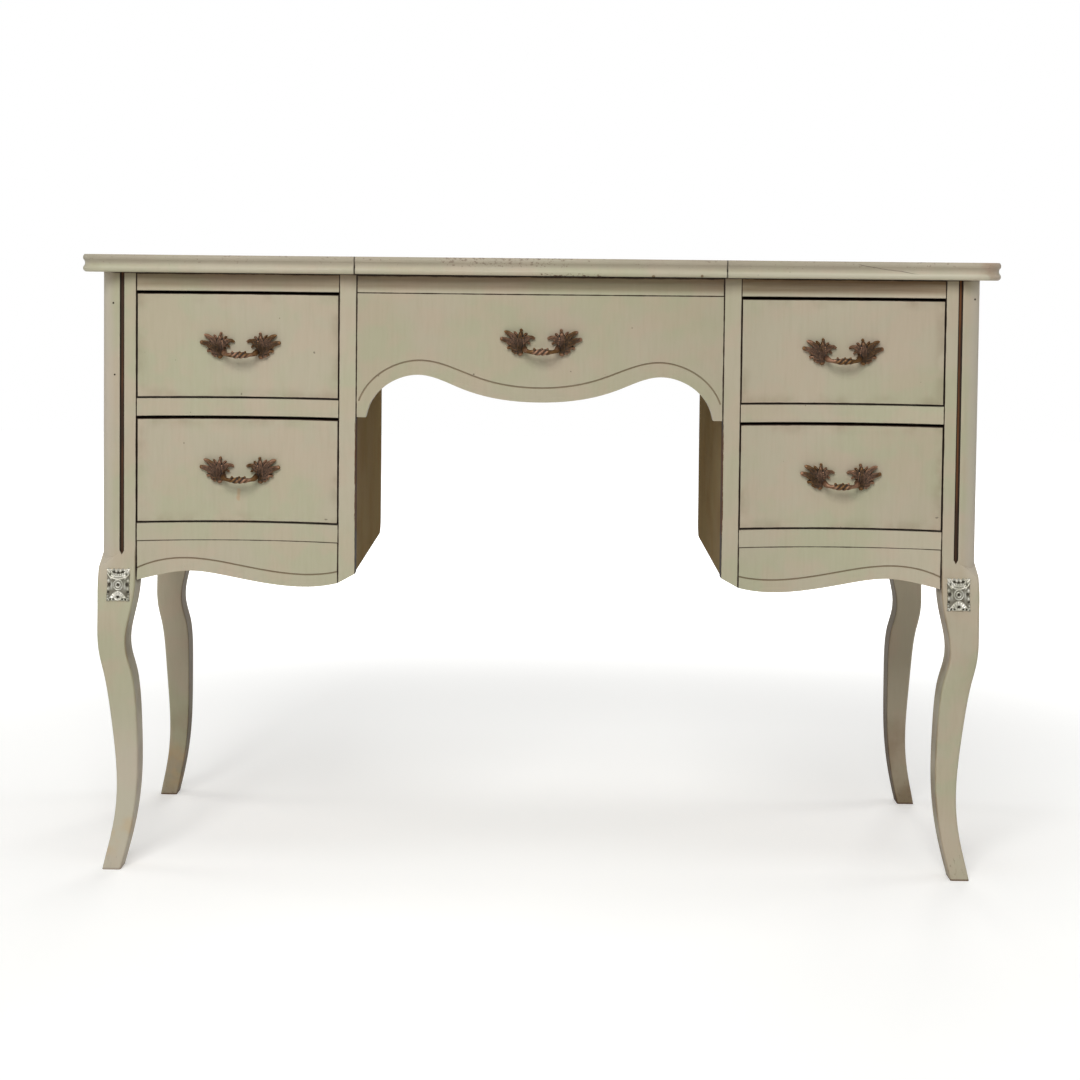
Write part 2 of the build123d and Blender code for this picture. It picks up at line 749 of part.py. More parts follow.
def mirror_glass():
    """Mirror glass in the frame's rebate."""
    z1 = lid_under - mirror_backing_thickness
    return mirror_box(mirror_frame_width - mirror_lap + mirror_play, z1 - mirror_glass_thickness, z1)


def mirror_backing():
    """Thin board between the glass and the lid."""
    return mirror_box(mirror_frame_width - mirror_lap + mirror_play, lid_under - mirror_backing_thickness, lid_under)


# ---------------------------------------------------------------- drawers and runners
def drawer_back_plane():
    """Y of the flat back of every drawer front."""
    return front_y + pedestal_hollow + drawer_front_thickness


def drawer_front_blank(bottom):
    """Right drawer front with a hollow face and a flat back."""
    arc = hollow_arc(stile_outer + drawer_side_gap, post_inner - drawer_side_gap)
    z1 = bottom + drawer_opening_height - drawer_top_gap
    return closed_plan(arc, drawer_back_plane(), bottom + drawer_bottom_gap, z1)


def bottom_room(bottom, play):
    """Space of a drawer's bottom in its grooves."""
    reach = drawer_wall - drawer_groove + play
    z0 = bottom + drawer_bottom_rise
    return block(stile_outer + drawer_side_gap + drawer_wall - drawer_groove - play,
                 post_inner - drawer_side_gap - drawer_wall + drawer_groove + play,
                 drawer_back_plane() - drawer_groove - play, drawer_rear() + (0 if play == 0 else reach),
                 z0 - play, z0 + drawer_bottom_thickness + play)


def drawer_rear():
    """Y of the rear face of a drawer."""
    return rear_y - drawer_rear_gap


def drawer_front(bottom):
    """Drawer front, grooved for the bottom and bored for the pull's screws."""
    front = drawer_front_blank(bottom) - bottom_room(bottom, groove_play)
    pull_z = bottom + drawer_opening_height / 2
    for x in screw_places(bay_middle):
        front -= rod_y(x, front_y - centre_bow, drawer_back_plane() + 1, pull_z, pull_screw_radius + pull_screw_play)
    return front


def drawer_walls(bottom):
    """Two sides and the back of a drawer, the sides grooved for the bottom."""
    x0, x1 = stile_outer + drawer_side_gap, post_inner - drawer_side_gap
    y0, y1 = drawer_back_plane(), drawer_rear()
    z0 = bottom + drawer_ride_gap
    z1 = bottom + drawer_wall_height
    room = bottom_room(bottom, groove_play)
    left = block(x0, x0 + drawer_wall, y0, y1, z0, z1) - room
    right = block(x1 - drawer_wall, x1, y0, y1, z0, z1) - room
    back_z = bottom + drawer_bottom_rise + drawer_bottom_thickness + groove_play
    back = block(x0 + drawer_wall, x1 - drawer_wall, y1 - drawer_wall, y1, back_z, z1)
    return Compound(children=[left.solid(), right.solid(), back.solid()])


def drawer_bottom(bottom):
    """Thin bottom board of a drawer."""
    return bottom_room(bottom, 0.0)


def runner_pieces(opening_bottom, inner):
    """A ledge that a drawer's side rides on and the strip that guides the side."""
    z0, z1 = opening_bottom - mid_rail_height, opening_bottom
    ledge_y0 = front_y + rail_depth
    if inner:
        y1 = rear_y - back_inset - back_thickness
        guide = block(kneehole_half + inner_side_thickness, stile_outer, front_y + stile_depth, y1,
                      z0, z1 + guide_strip_rise)
        return guide, block(stile_outer, stile_outer + runner_width, ledge_y0, y1, z0, z1)
    y1 = rear_y - post_depth
    side_face = case_half - outer_side_inset - outer_side_thickness
    guide = block(post_inner, side_face, front_y + post_depth, y1, z0, z1 + guide_strip_rise)
    return guide, block(post_inner - runner_width, post_inner, ledge_y0, y1, z0, z1)


def drawer_runners():
    """Ledges and guide strips of all four drawers."""
    pieces = []
    for bottom in (upper_opening_bottom, lower_opening_bottom):
        for inner in (True, False):
            for piece in runner_pieces(bottom, inner):
                pieces += [piece.solid(), other_side(piece).solid()]
    return Compound(children=pieces)


# ---------------------------------------------------------------- pulls
def screw_places(middle):
    """X of the two screws of a pull."""
    return (middle - pull_screw_spacing / 2, middle + pull_screw_spacing / 2)


def pull_blank():
    """Cast pull about its own middle: two leaf clusters joined by a bar; the wall is at Y = 0."""
    outline = make_face(Polyline(*pull_leaf_outline, close=True))
    outline = fillet(outline.vertices(), pull_leaf_round)
    cluster = upright(outline.edges(), -pull_leaf_thickness, pull_seat_depth)
    boss_x = pull_screw_spacing / 2
    boss = Pos(boss_x, -pull_leaf_thickness, 0) * Rot(90, 0, 0) * Cone(
        pull_boss_radius, pull_boss_radius / 2, pull_boss_height, align=(Align.CENTER, Align.CENTER, Align.MIN))
    cluster += boss
    cluster += mirror(cluster, about=Plane.YZ)
    return cluster + pull_bar()


def pull_bar():
    """The bar: out from the clusters, across, and back, with a knot in its middle."""
    root, reach, across = pull_bar_root, pull_bar_reach, pull_bar_half_length
    start_reach = pull_leaf_thickness / 2
    tilt = math.degrees(math.atan2(pull_bar_drop, reach - start_reach))
    plane = Plane(origin=(0, 0, pull_bar_root_height)).rotated((tilt, 0, 0))
    slope = math.cos(math.radians(tilt))
    path = FilletPolyline((root, -start_reach), (across, -reach / slope), (-across, -reach / slope),
                          (-root, -start_reach), radius=pull_bar_bend)
    path = plane * path
    bar = sweep(Plane(origin=path @ 0, z_dir=path % 0) * Circle(pull_bar_radius), path=path)
    middle = path @ 0.5
    along = Pos(0, middle.Y, middle.Z) * Rot(0, 90, 0)
    knot = along * Sphere(pull_knot_radius)
    for side in (-1, 1):
        knot += along * Pos(0, 0, side * pull_knot_pitch) * Sphere(pull_bead_radius)
    return bar + knot


def pull_screws(middle, z, wall_y, head_y):
    """Two machine screws: thread in the casting, head on the inside."""
    pieces = []
    for x in screw_places(middle):
        screw = rod_y(x, wall_y - pull_screw_bite, head_y, z, pull_screw_radius)
        screw += rod_y(x, head_y, head_y + pull_screw_head_height, z, pull_screw_head_radius)
        pieces.append(screw.solid())
    return pieces


def fitted_pull(middle, z, wall_y, seat, head_y):
    """A pull seated on its front, with its screws; the front's own curve shapes the casting's back."""
    screws = pull_screws(middle, z, wall_y, head_y)
    casting = Pos(middle, wall_y, z) * pull_blank() - seat
    casting = max(casting.solids(), key=lambda s: s.volume)
    for screw in screws:
        casting -= screw
    return casting, Compound(children=screws)


# ---------------------------------------------------------------- rosettes
def rosette(leg):
    """Cast rosette on the right knee: concave sides, a boss and four leaves at the corners."""
    w, h, waist = rosette_width / 2, rosette_height / 2, rosette_waist
    outline = [ThreePointArc((-w, -h), (0, -h + waist), (w, -h)), ThreePointArc((w, -h), (w - waist, 0), (w, h)),
               ThreePointArc((w, h), (0, h - waist), (-w, h)), ThreePointArc((-w, h), (-w + waist, 0), (-w, -h))]
    seat = 2 * rosette_thickness
    plate = upright(outline, -rosette_thickness, seat)
    plate += Pos(0, -rosette_thickness, 0) * Sphere(rosette_boss_radius / 1.4)
    for sx in (-1, 1):
        for sz in (-1, 1):
            plate += Pos(sx * (w - rosette_leaf_radius - waist), -rosette_thickness / 2,
                         sz * (h - rosette_leaf_radius - waist)) * Sphere(rosette_leaf_radius)
    face_y = knee_face_y(rosette_centre_height)
    place = Pos(post_inner + rosette_from_inner_edge, face_y, rosette_centre_height) * Rot(-rosette_lean, 0, 0)
    piece = place * plate - leg
    return max(piece.solids(), key=lambda s: s.volume)


def knee_face_y(height):
    """Y of the knee's front face at a height, between the stations beside it."""
    below = max((s for s in leg_levels() if s[0] <= height), key=lambda s: s[0])
    above = min((s for s in leg_levels() if s[0] > height), key=lambda s: s[0])
    share = (height - below[0]) / (above[0] - below[0])
    return front_y - (below[3] + share * (above[3] - below[3]))


# ---------------------------------------------------------------- all nodes
def build_case():
    """Posts, panels, rails, aprons, runners, well and rosettes."""
    leg = front_leg()
    pieces = {
        "leg_front": leg,
        "leg_rear": rear_leg(),
        "inner_stile": inner_stile(),
        "inner_side": inner_side(),
        "outer_side": outer_side(),
        "back": back_room(),
        "apron": apron(),
        "top": top_side(),
    }
    for name, piece in pieces.items():
        save(f"{name}_right", piece)
        save(f"{name}_left", other_side(piece))
    save("top_rails", both_sides(rail(upper_opening_top, top_under)))
    save("middle_rails", both_sides(rail(lower_opening_top, upper_opening_bottom)))
    save("bottom_rails", both_sides(rail(apron_top, lower_opening_bottom)))
    save("drawer_runners", drawer_runners())
    save("knee_rosettes", both_sides(rosette(leg)))
    save("centre_rail", centre_rail())
    save("well_sides", both_sides(well_side()))
    save("well_bottom", well_bottom())
    save("well_back", well_back())
    save("top_rear_strip", rear_strip())


def build_centre_front():
    """Centre front with its pull."""
    front = centre_front()
    z = (upper_opening_top + upper_opening_bottom) / 2 + centre_pull_rise
    head_y = bow_y(pull_screw_spacing / 2 + pull_screw_head_radius, -centre_front_thickness)
    casting, screws = fitted_pull(0, z, bow_y(0), front, head_y)
    for x in screw_places(0):
        front -= rod_y(x, front_y - 2 * centre_bow, front_y + stile_depth, z, pull_screw_radius + pull_screw_play)
    save("centre_front", front)
    save("pull_centre", casting)
    save("pull_screws_centre", screws)


def build_lid():
    """Lid with hinges, stays and mirror."""
    save("lid", lid())
    save("mirror_frame", mirror_frame())
    save("mirror_glass", mirror_glass())
    save("mirror_backing", mirror_backing())
    save("hinge_leaves_lid", leaves(-1))
    save("hinge_leaves_fixed", leaves(1))
    save("hinge_pins", hinge_pins())
    save("hinge_screws_lid", hinge_screws(-1))
    save("hinge_screws_fixed", hinge_screws(1))
    save("lid_stays", both_sides(stay()))
    save("stay_guides", both_sides(stay_guide()))


def build_drawers():
    """Four drawers with pulls and screws."""
    for level, bottom in (("upper", upper_opening_bottom), ("lower", lower_opening_bottom)):
        z = bottom + drawer_opening_height / 2
        casting, screws = fitted_pull(bay_middle, z, hollow_y(bay_middle), drawer_front_blank(bottom),
                                      drawer_back_plane())
        pieces = {
            "drawer_front": drawer_front(bottom),
            "drawer_walls": drawer_walls(bottom),
            "drawer_bottom": drawer_bottom(bottom),
            "pull": casting,
            "pull_screws": screws,
        }
        for name, piece in pieces.items():
            save(f"{name}_{level}_right", piece)
            save(f"{name}_{level}_left", other_side(piece))


os.makedirs("parts", exist_ok=True)
build_case()
build_centre_front()
build_lid()
build_drawers()
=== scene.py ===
# %% [markdown]
# # Dressing a painted dressing table
#
# The construction of this table comes in as a fixed frame: sixty nodes of wood, brass and glass, each where
# it belongs. This lesson gives every node its finish and builds the two ornaments that need a sculptor's
# hand, the cast copper pulls and the silver rosettes on the knees. Nothing of the frame is moved.

import math
from functools import cached_property

import bmesh
import bpy
import numpy as np
from mathutils import Matrix, Vector


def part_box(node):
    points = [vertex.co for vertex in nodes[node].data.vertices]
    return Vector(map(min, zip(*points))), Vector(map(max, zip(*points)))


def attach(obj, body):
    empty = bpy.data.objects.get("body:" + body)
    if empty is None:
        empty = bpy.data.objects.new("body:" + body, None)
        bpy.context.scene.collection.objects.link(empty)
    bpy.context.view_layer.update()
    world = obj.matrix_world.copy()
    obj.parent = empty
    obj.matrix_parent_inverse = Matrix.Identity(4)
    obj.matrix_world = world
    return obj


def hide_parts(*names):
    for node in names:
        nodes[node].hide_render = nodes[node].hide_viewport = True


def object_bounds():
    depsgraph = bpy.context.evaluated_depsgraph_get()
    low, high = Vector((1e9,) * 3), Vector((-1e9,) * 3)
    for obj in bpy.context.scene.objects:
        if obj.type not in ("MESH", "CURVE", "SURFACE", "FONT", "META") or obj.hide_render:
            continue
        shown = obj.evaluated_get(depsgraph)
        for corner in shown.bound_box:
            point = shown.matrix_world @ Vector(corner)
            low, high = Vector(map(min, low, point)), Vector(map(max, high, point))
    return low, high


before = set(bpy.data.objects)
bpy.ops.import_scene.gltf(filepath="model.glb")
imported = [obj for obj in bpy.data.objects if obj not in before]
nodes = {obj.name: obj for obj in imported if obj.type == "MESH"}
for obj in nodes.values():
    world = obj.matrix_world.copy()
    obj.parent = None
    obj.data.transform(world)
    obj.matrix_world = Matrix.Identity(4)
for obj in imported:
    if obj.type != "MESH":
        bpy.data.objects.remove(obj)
cad_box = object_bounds()

# %% [markdown]
# Every finish follows the piece that it lies on, so the places of seams, fronts and flutes are read from the
# nodes' boxes. Only what a box can't tell is written here as a size: how far a front is hollowed, how
# wide a flute is. Lengths are in metres, and `MM` keeps small ones readable.

# %% Places taken from the frame
MM = 0.001
SIDES = ("left", "right")
LEVELS = ("upper", "lower")


def low(node):
    """Lowest corner of a node."""
    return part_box(node)[0]


def high(node):
    """Highest corner of a node."""
    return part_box(node)[1]


front_y = low("inner_stile_right").y
kneehole_half = low("inner_stile_right").x
stile_outer = high("inner_stile_right").x
post_inner = high("middle_rails").x
bay_middle = (stile_outer + post_inner) / 2
top_under = high("leg_front_right").z
table_height = high("top_right").z
apron_top = high("apron_right").z
panel_top = high("centre_front").z
centre_bow = front_y - low("centre_front").y
PEDESTAL_HOLLOW = 19 * MM
bow_radius = (kneehole_half**2 + centre_bow**2) / (2 * centre_bow)
bow_centre_y = front_y - centre_bow + bow_radius
hollow_radius = (((post_inner - stile_outer) / 2) ** 2 + PEDESTAL_HOLLOW**2) / (2 * PEDESTAL_HOLLOW)
hollow_centre_y = front_y + PEDESTAL_HOLLOW - hollow_radius
print(f"front {front_y:.4f}, bay middle {bay_middle:.4f}, bow {bow_radius:.3f}, hollow {hollow_radius:.3f}")

# %% [markdown]
# The camera stands in front of the kneehole, a little to the right, about as high as the top itself, so the
# top shows only its edge. It looks slightly down through a longish lens. Its frame is shifted downwards
# instead of tilting further, which keeps the posts upright.

# %% Camera
CAMERA_PLACE = Vector((0.0097, -2.9259, 0.7499))
CAMERA_YAW, CAMERA_DOWN, CAMERA_ROLL = 0.755, 2.778, 0.577     # degrees
CAMERA_LENS, SENSOR = 74.46, 36.0
CAMERA_SHIFT = (0.0202, -0.1513)


def aim(yaw, down, roll):
    """Rotation of a camera that looks along +Y: yaw turns it left, down tilts it and roll is clockwise."""
    level = Matrix.Rotation(math.radians(yaw), 3, "Z") @ Matrix.Rotation(math.radians(90 - down), 3, "X")
    return level @ Matrix.Rotation(math.radians(roll), 3, "Z")


lens = bpy.data.cameras.new("camera")
lens.lens, lens.sensor_width = CAMERA_LENS, SENSOR
lens.shift_x, lens.shift_y = CAMERA_SHIFT
camera = bpy.data.objects.new("camera", lens)
camera.matrix_world = Matrix.Translation(CAMERA_PLACE) @ aim(CAMERA_YAW, CAMERA_DOWN, CAMERA_ROLL).to_4x4()
bpy.context.scene.collection.objects.link(camera)
bpy.context.scene.camera = camera
print("camera at", [round(v, 3) for v in CAMERA_PLACE], "lens", CAMERA_LENS)

# %% [markdown]
# A shader is arithmetic on numbers and colours that flow from node to node. Written by hand, each sum costs
# three lines, so this small language wraps a socket: `a * 2 + b` on two wires adds the Math nodes itself.
# Colours and directions go through Mix and Vector Math nodes, because a Math node would turn them grey.

# %% Wires


class Wire:
    """A socket of a finish. Arithmetic on wires adds Math nodes."""

    def __init__(self, finish, socket):
        self.finish, self.socket = finish, socket

    def math(self, operation, *others):
        return self.finish.add("ShaderNodeMath", {"operation": operation}, (self, *others))

    def __add__(self, other):
        return self.math("ADD", other)

    def __sub__(self, other):
        return self.math("SUBTRACT", other)

    def __rsub__(self, other):
        return self.finish.add("ShaderNodeMath", {"operation": "SUBTRACT"}, (other, self))

    def __mul__(self, other):
        return self.math("MULTIPLY", other)

    def __truediv__(self, other):
        return self.math("DIVIDE", other)

    def __abs__(self):
        return self.math("ABSOLUTE")

    def __pow__(self, other):
        return self.math("POWER", other)

    __radd__ = __add__
    __rmul__ = __mul__

    def least(self, other):
        return self.math("MINIMUM", other)

    def most(self, other):
        return self.math("MAXIMUM", other)

    def rise(self, start, end):
        """0 below start, 1 above end, smooth between; with start above end it falls instead."""
        return self.finish.add("ShaderNodeMapRange", {"interpolation_type": "SMOOTHSTEP"},
                               {"Value": self, "From Min": start, "From Max": end})

    def near(self, place, reach, soft):
        """1 within reach of a place, fading to 0 over a soft margin."""
        return abs(self - place).rise(reach + soft, reach)


print("wires know", [name for name in vars(Wire) if not name.startswith("_")])

# %% [markdown]
# A finish is a material while it is being mixed. One method adds any node from its type, its settings and
# what its sockets get. Where the surface lies and which way it looks are asked for by nearly every mask, so
# the nodes that tell it are made once and kept.

# %% Finishes


class Finish:
    """The nodes of a material, or of another owner of nodes such as the world, under construction."""

    def __init__(self, name, owner=None):
        self.material = owner or bpy.data.materials.new(name)
        self.material.use_nodes = True
        self.tree = self.material.node_tree
        self.tree.nodes.clear()

    def add(self, kind, settings=None, inputs=()):
        """One node: its settings, then the values or wires of its sockets. Gives its first live output."""
        node = self.tree.nodes.new(kind)
        for key, value in (settings or {}).items():
            if key == "stops":
                self.fill_ramp(node.color_ramp, value)
            else:
                setattr(node, key, value)
        pairs = inputs.items() if isinstance(inputs, dict) else enumerate(inputs)
        for key, value in pairs:
            live = [s for s in node.inputs if s.enabled]
            socket = live[key] if isinstance(key, int) else next(s for s in live if s.name == key)
            if isinstance(value, Wire):
                self.tree.links.new(value.socket, socket)
            else:
                socket.default_value = value
        return Wire(self, next((s for s in node.outputs if s.enabled), None))

    @staticmethod
    def fill_ramp(ramp, stops):
        while len(ramp.elements) < len(stops):
            ramp.elements.new(1.0)
        for element, (position, colour) in zip(ramp.elements, stops):
            element.position, element.color = position, colour

    def output(self, name, kind, settings=None):
        """A named output of a new node."""
        return Wire(self, self.add(kind, settings).socket.node.outputs[name])

    def split(self, vector):
        parts = self.add("ShaderNodeSeparateXYZ", None, (vector,))
        return [Wire(self, s) for s in parts.socket.node.outputs]

    @cached_property
    def spot(self):
        """Where the surface lies in the table's own frame, in metres."""
        return self.output("Object", "ShaderNodeTexCoord")

    @cached_property
    def place(self):
        return self.split(self.spot)

    @cached_property
    def outward(self):
        """X, Y and Z of the direction in which the surface looks, in the frame of the closed table."""
        return self.split(self.add("ShaderNodeVectorTransform", {
            "vector_type": "NORMAL", "convert_from": "WORLD", "convert_to": "OBJECT"},
            (self.output("True Normal", "ShaderNodeNewGeometry"),)))

    x, y, z = (property(lambda self, axis=axis: self.place[axis]) for axis in range(3))
    out_x, out_y, out_z = (property(lambda self, axis=axis: self.outward[axis]) for axis in range(3))

    def stretched(self, scale):
        """The surface's place with each axis scaled, for grain and brush marks."""
        return self.add("ShaderNodeVectorMath", {"operation": "MULTIPLY"}, (self.spot, scale))

    def noise(self, scale, detail=2.0, roughness=0.5, at=None, distortion=0.0):
        """Cloudy noise from 0 to 1."""
        return self.add("ShaderNodeTexNoise", {"noise_dimensions": "3D"},
                        {"Vector": at or self.spot, "Scale": scale, "Detail": detail,
                         "Roughness": roughness, "Distortion": distortion})

    @cached_property
    def wander(self):
        """Noise about 1, for widths that vary along a line."""
        return self.noise(45.0, detail=3.0, roughness=0.65) * 1.5 + 0.25

    def mix(self, share, a, b, blend="MIX"):
        """Colour a turning into colour b by a share."""
        return self.add("ShaderNodeMix", {"data_type": "RGBA", "blend_type": blend, "clamp_factor": True},
                        {"Factor": share, "A": a, "B": b})

    def bump(self, height, depth):
        """A normal that follows a height from 0 to 1, depth metres tall."""
        return self.add("ShaderNodeBump", None, {"Strength": 1.0, "Distance": depth, "Height": height})

    def principled(self, **inputs):
        """The surface; sockets by name with _ for a space."""
        named = {key.replace("_", " "): value for key, value in inputs.items()}
        shader = self.add("ShaderNodeBsdfPrincipled", None, named)
        self.add("ShaderNodeOutputMaterial", None, {"Surface": shader})
        return self.material


print("finishes add nodes, noise, mixes and bumps")

# %% [markdown]
# Paint is chosen by card, so colours are written as a card gives them. A shader works in linear light, and
# the sRGB curve turns one into the other.

# %% Paint cards


def paint(red, green, blue):
    """A colour as a paint card gives it, 0 to 255 in sRGB, made linear."""
    def linear(value):
        share = value / 255
        return share / 12.92 if share <= 0.04045 else ((share + 0.055) / 1.055) ** 2.4
    return (linear(red), linear(green), linear(blue), 1.0)


print("middle grey in linear light:", round(paint(128, 128, 128)[0], 3))

# %% [markdown]
# The floor is pale and the world is white where the camera looks past the table. The floor's own light is
# only seen by the camera and in reflections, so it brightens nothing else. It is weakest close to the table,
# where it would drown the table's shadow.

# %% Floor and backdrop
FLOOR_SIZE = 14.0
FLOOR_COLOUR = paint(238, 238, 236)
LIFT_NEAR, LIFT_FAR = 0.25, 0.86                  # under the table, and from LIFT_REACH outwards
LIFT_REACH = (0.9, 2.6)
WORLD_FILL = 0.20
GLOSSY_SHARE = 0.35


def seen_ray(finish):
    """1 for a ray from the camera or through glass, less in a reflection, 0 for light that bounces."""
    path = finish.add("ShaderNodeLightPath").socket.node.outputs
    camera_ray, glossy, through = (Wire(finish, path[n]) for n in
                                   ("Is Camera Ray", "Is Glossy Ray", "Is Transmission Ray"))
    return camera_ray.most(glossy * GLOSSY_SHARE).most(through)


def floor_finish():
    """Matt pale floor with a lift that only seen rays get, least where the table's shadow lies."""
    f = Finish("studio_floor")
    away = (f.x * f.x + f.y * f.y) ** 0.5
    lift = away.rise(*LIFT_REACH) * (LIFT_FAR - LIFT_NEAR) + LIFT_NEAR
    grain = f.noise(30.0, detail=4.0)
    colour = f.mix(grain * 0.04, FLOOR_COLOUR, paint(228, 228, 226))
    matt = f.add("ShaderNodeBsdfDiffuse", None, {"Color": colour})
    glow = f.add("ShaderNodeEmission", None, {"Color": (1, 1, 1, 1), "Strength": seen_ray(f) * lift})
    f.add("ShaderNodeOutputMaterial", None, {"Surface": f.add("ShaderNodeAddShader", None, (matt, glow))})
    return f.material


def grid_mesh(name, points, faces):
    """A mesh object from an array of points and an array of faces."""
    mesh = bpy.data.meshes.new(name)
    mesh.from_pydata(points.tolist(), [], faces.tolist())
    mesh.validate()
    piece = bpy.data.objects.new(name, mesh)
    bpy.context.scene.collection.objects.link(piece)
    return piece


reach = FLOOR_SIZE / 2
floor = grid_mesh("studio_floor", np.array([(-reach, -reach, 0), (reach, -reach, 0), (reach, reach, 0),
                                            (-reach, reach, 0)]), np.array([(0, 1, 2, 3)]))
floor.data.materials.append(floor_finish())

world = bpy.data.worlds.new("studio")
bpy.context.scene.world = world
surround = Finish("studio", world)
glow = seen_ray(surround) * (1.0 - WORLD_FILL) + WORLD_FILL
sky = surround.add("ShaderNodeBackground", None, {"Color": (1, 1, 1, 1), "Strength": glow})
surround.add("ShaderNodeOutputWorld", None, {"Surface": sky})
print("floor", FLOOR_SIZE, "m, world fill", WORLD_FILL)

# %% [markdown]
# Light on the table comes from one large soft box in front, a little to the left and above. Weaker ones
# behind, overhead and at both ends keep the other sides readable, and the white surroundings fill in the
# rest. Little of it reaches the kneehole's sides, so they stay much darker than the fronts.

# %% Soft boxes
KEY = dict(azimuth=-9.0, elevation=34.0, distance=4.2, size=1.8, power=95.0)
END = dict(elevation=18.0, distance=4.8, size=2.0, power=27.0)
FILLS = dict(back=dict(azimuth=172.0, elevation=28.0, distance=4.8, size=2.4, power=80.0),
             left=dict(azimuth=-104.0, **END), right=dict(azimuth=104.0, **END),
             above=dict(azimuth=0.0, elevation=84.0, distance=3.6, size=2.4, power=34.0))


def soft_box(name, azimuth, elevation, distance, size, power):
    """A square lamp that looks at the middle of the table from a bearing and a height in degrees."""
    target = (cad_box[0] + cad_box[1]) / 2
    a, e = math.radians(azimuth), math.radians(elevation)
    away = Vector((math.sin(a) * math.cos(e), -math.cos(a) * math.cos(e), math.sin(e)))
    lamp = bpy.data.lights.new(name, "AREA")
    lamp.shape, lamp.size, lamp.energy = "SQUARE", size, power
    holder = bpy.data.objects.new(name, lamp)
    holder.location = target + away * distance
    holder.rotation_euler = away.to_track_quat("Z", "Y").to_euler()
    bpy.context.scene.collection.objects.link(holder)
    return holder


soft_box("key", **KEY)
for name, fill in FILLS.items():
    soft_box(name, **fill)
bpy.context.scene.view_settings.view_transform = "Standard"
print("key at", KEY["azimuth"], KEY["elevation"], "degrees, fills:", ", ".join(FILLS))

# %% [markdown]
# The paint is an old cream, rubbed and glazed: a putty ground with faint greenish and pinkish clouds, a
# brown glaze left in every seam and groove, and edges where the paint has chipped down to dark wood. On
# many pieces the brown glaze and wash also carry painted shade, and the top's bead a painted highlight. One
# function mixes those layers. What differs from piece to piece is where the glaze, the wash and the painted
# shade lie and where the paint has chipped, so each piece hands in its masks, from 0 to 1.

# %% The painted finish
CREAM = paint(183, 174, 151)
CREAM_GREEN = paint(175, 174, 144)
CREAM_PINK = paint(190, 170, 149)
# Pale worn cream, also used for the painted highlight on the top's bead.
CREAM_WORN_AND_LIT = paint(196, 190, 168)
# The dark brown of glaze, also used as painted shade.
GLAZE_AND_SHADE = paint(42, 26, 12)
# Thin brown wash, also used as painted shade under the top, on turned-away faces and in the kneehole.
WASH_AND_SHADE = paint(106, 79, 45)
BARE = paint(88, 58, 38)


def clouds(f):
    """Cream with slow greenish and pinkish clouds and finer brushed streaks."""
    slow = f.noise(9.0, detail=3.0).rise(0.42, 0.60)
    middle = f.noise(24.0, detail=3.0).rise(0.44, 0.62)
    colour = f.mix(slow * 0.7, CREAM, CREAM_GREEN)
    colour = f.mix(middle * 0.40, colour, CREAM_PINK)
    streaks = f.noise(1.0, detail=4.0, roughness=0.6, at=f.stretched((260.0, 260.0, 26.0)))
    colour = f.mix(streaks.rise(0.45, 0.8) * 0.11, colour, paint(150, 138, 112))
    return f.mix(streaks.rise(0.52, 0.25) * 0.08, colour, CREAM_WORN_AND_LIT)


def painted(name, glaze_and_shade=None, wash_and_shade=None, chips=None, marks=None, gloss=0.35):
    """Painted wood with masks for dark glaze, thin brown wash and chips, and a list of coloured marks.
    On some pieces the glaze, wash and marks also carry painted shade and painted highlights.
    """
    f = Finish(name)
    colour = clouds(f)
    rough = f.noise(60.0, detail=2.0) * 0.14 + 0.42
    for mask_of, tint, matt in ((wash_and_shade, WASH_AND_SHADE, 0.05), (glaze_and_shade, GLAZE_AND_SHADE, 0.2), (chips, BARE, 0.25)):
        if mask_of:
            mask = mask_of(f)
            colour = f.mix(mask, colour, tint)
            rough = rough + mask * matt
    for mask, tint in (marks(f) if marks else ()):
        colour = f.mix(mask, colour, tint)
    brushed = f.noise(1.0, detail=3.0, at=f.stretched((420.0, 420.0, 60.0)))
    return f.principled(Base_Color=colour, Roughness=rough, Normal=f.bump(brushed, 0.06 * MM),
                        Specular_IOR_Level=gloss)


def dress(material, *names):
    """Give nodes their finish."""
    for name in names:
        slots = nodes[name].data.materials
        slots.clear()
        slots.append(material)


def each_side(*stems):
    """The names of both nodes of each pair."""
    return [f"{stem}_{side}" for stem in stems for side in SIDES]


print("paint mixed:", [round(v, 3) for v in CREAM[:3]])

# %% [markdown]
# Old glaze never ends in a ruled line. It was wiped off while wet, and stayed where the cloth couldn't
# reach. So a seam's mask is the distance to the seam compared with a width that a noise makes wider here and
# narrower there. The same helper draws the line beside a post and the dark rim of a drawer.

# %% Masks that pieces share
SEAM = 0.7 * MM
SEAM_SOFT = 0.5 * MM


def seam(value, places, width=SEAM, soft=SEAM_SOFT):
    """Dark line where a coordinate comes near any of some places, with an uneven width."""
    gap = abs(value - places[0])
    for place in places[1:]:
        gap = gap.least(abs(value - place))
    return (gap / value.finish.wander).rise(width + soft, width)


def speckle(f):
    """Very few small dark specks, as flies and years leave them."""
    return f.noise(170.0, detail=1.0, roughness=0.3).rise(0.815, 0.83)


def shade_under_top(f):
    """Painted shade in brown below the top's overhang, deepest just under the top."""
    return f.z.rise(panel_top - 4 * MM, top_under) * 0.42 + f.z.rise(top_under - 7 * MM, top_under) * 0.3


def dots(f, places, soft):
    """1 on round spots of the front, each given as (x, z) and a reach, fading over a soft margin."""
    found = 0.0
    for (x, z), reach in places:
        away_x, away_z = f.x - x, f.z - z
        found = ((away_x * away_x + away_z * away_z) ** 0.5).rise(reach + soft, reach).most(found)
    return found


def front_face(f):
    """1 on surfaces that look to the front."""
    return f.out_y.rise(-0.2, -0.5)


print("seam width", SEAM, "m")

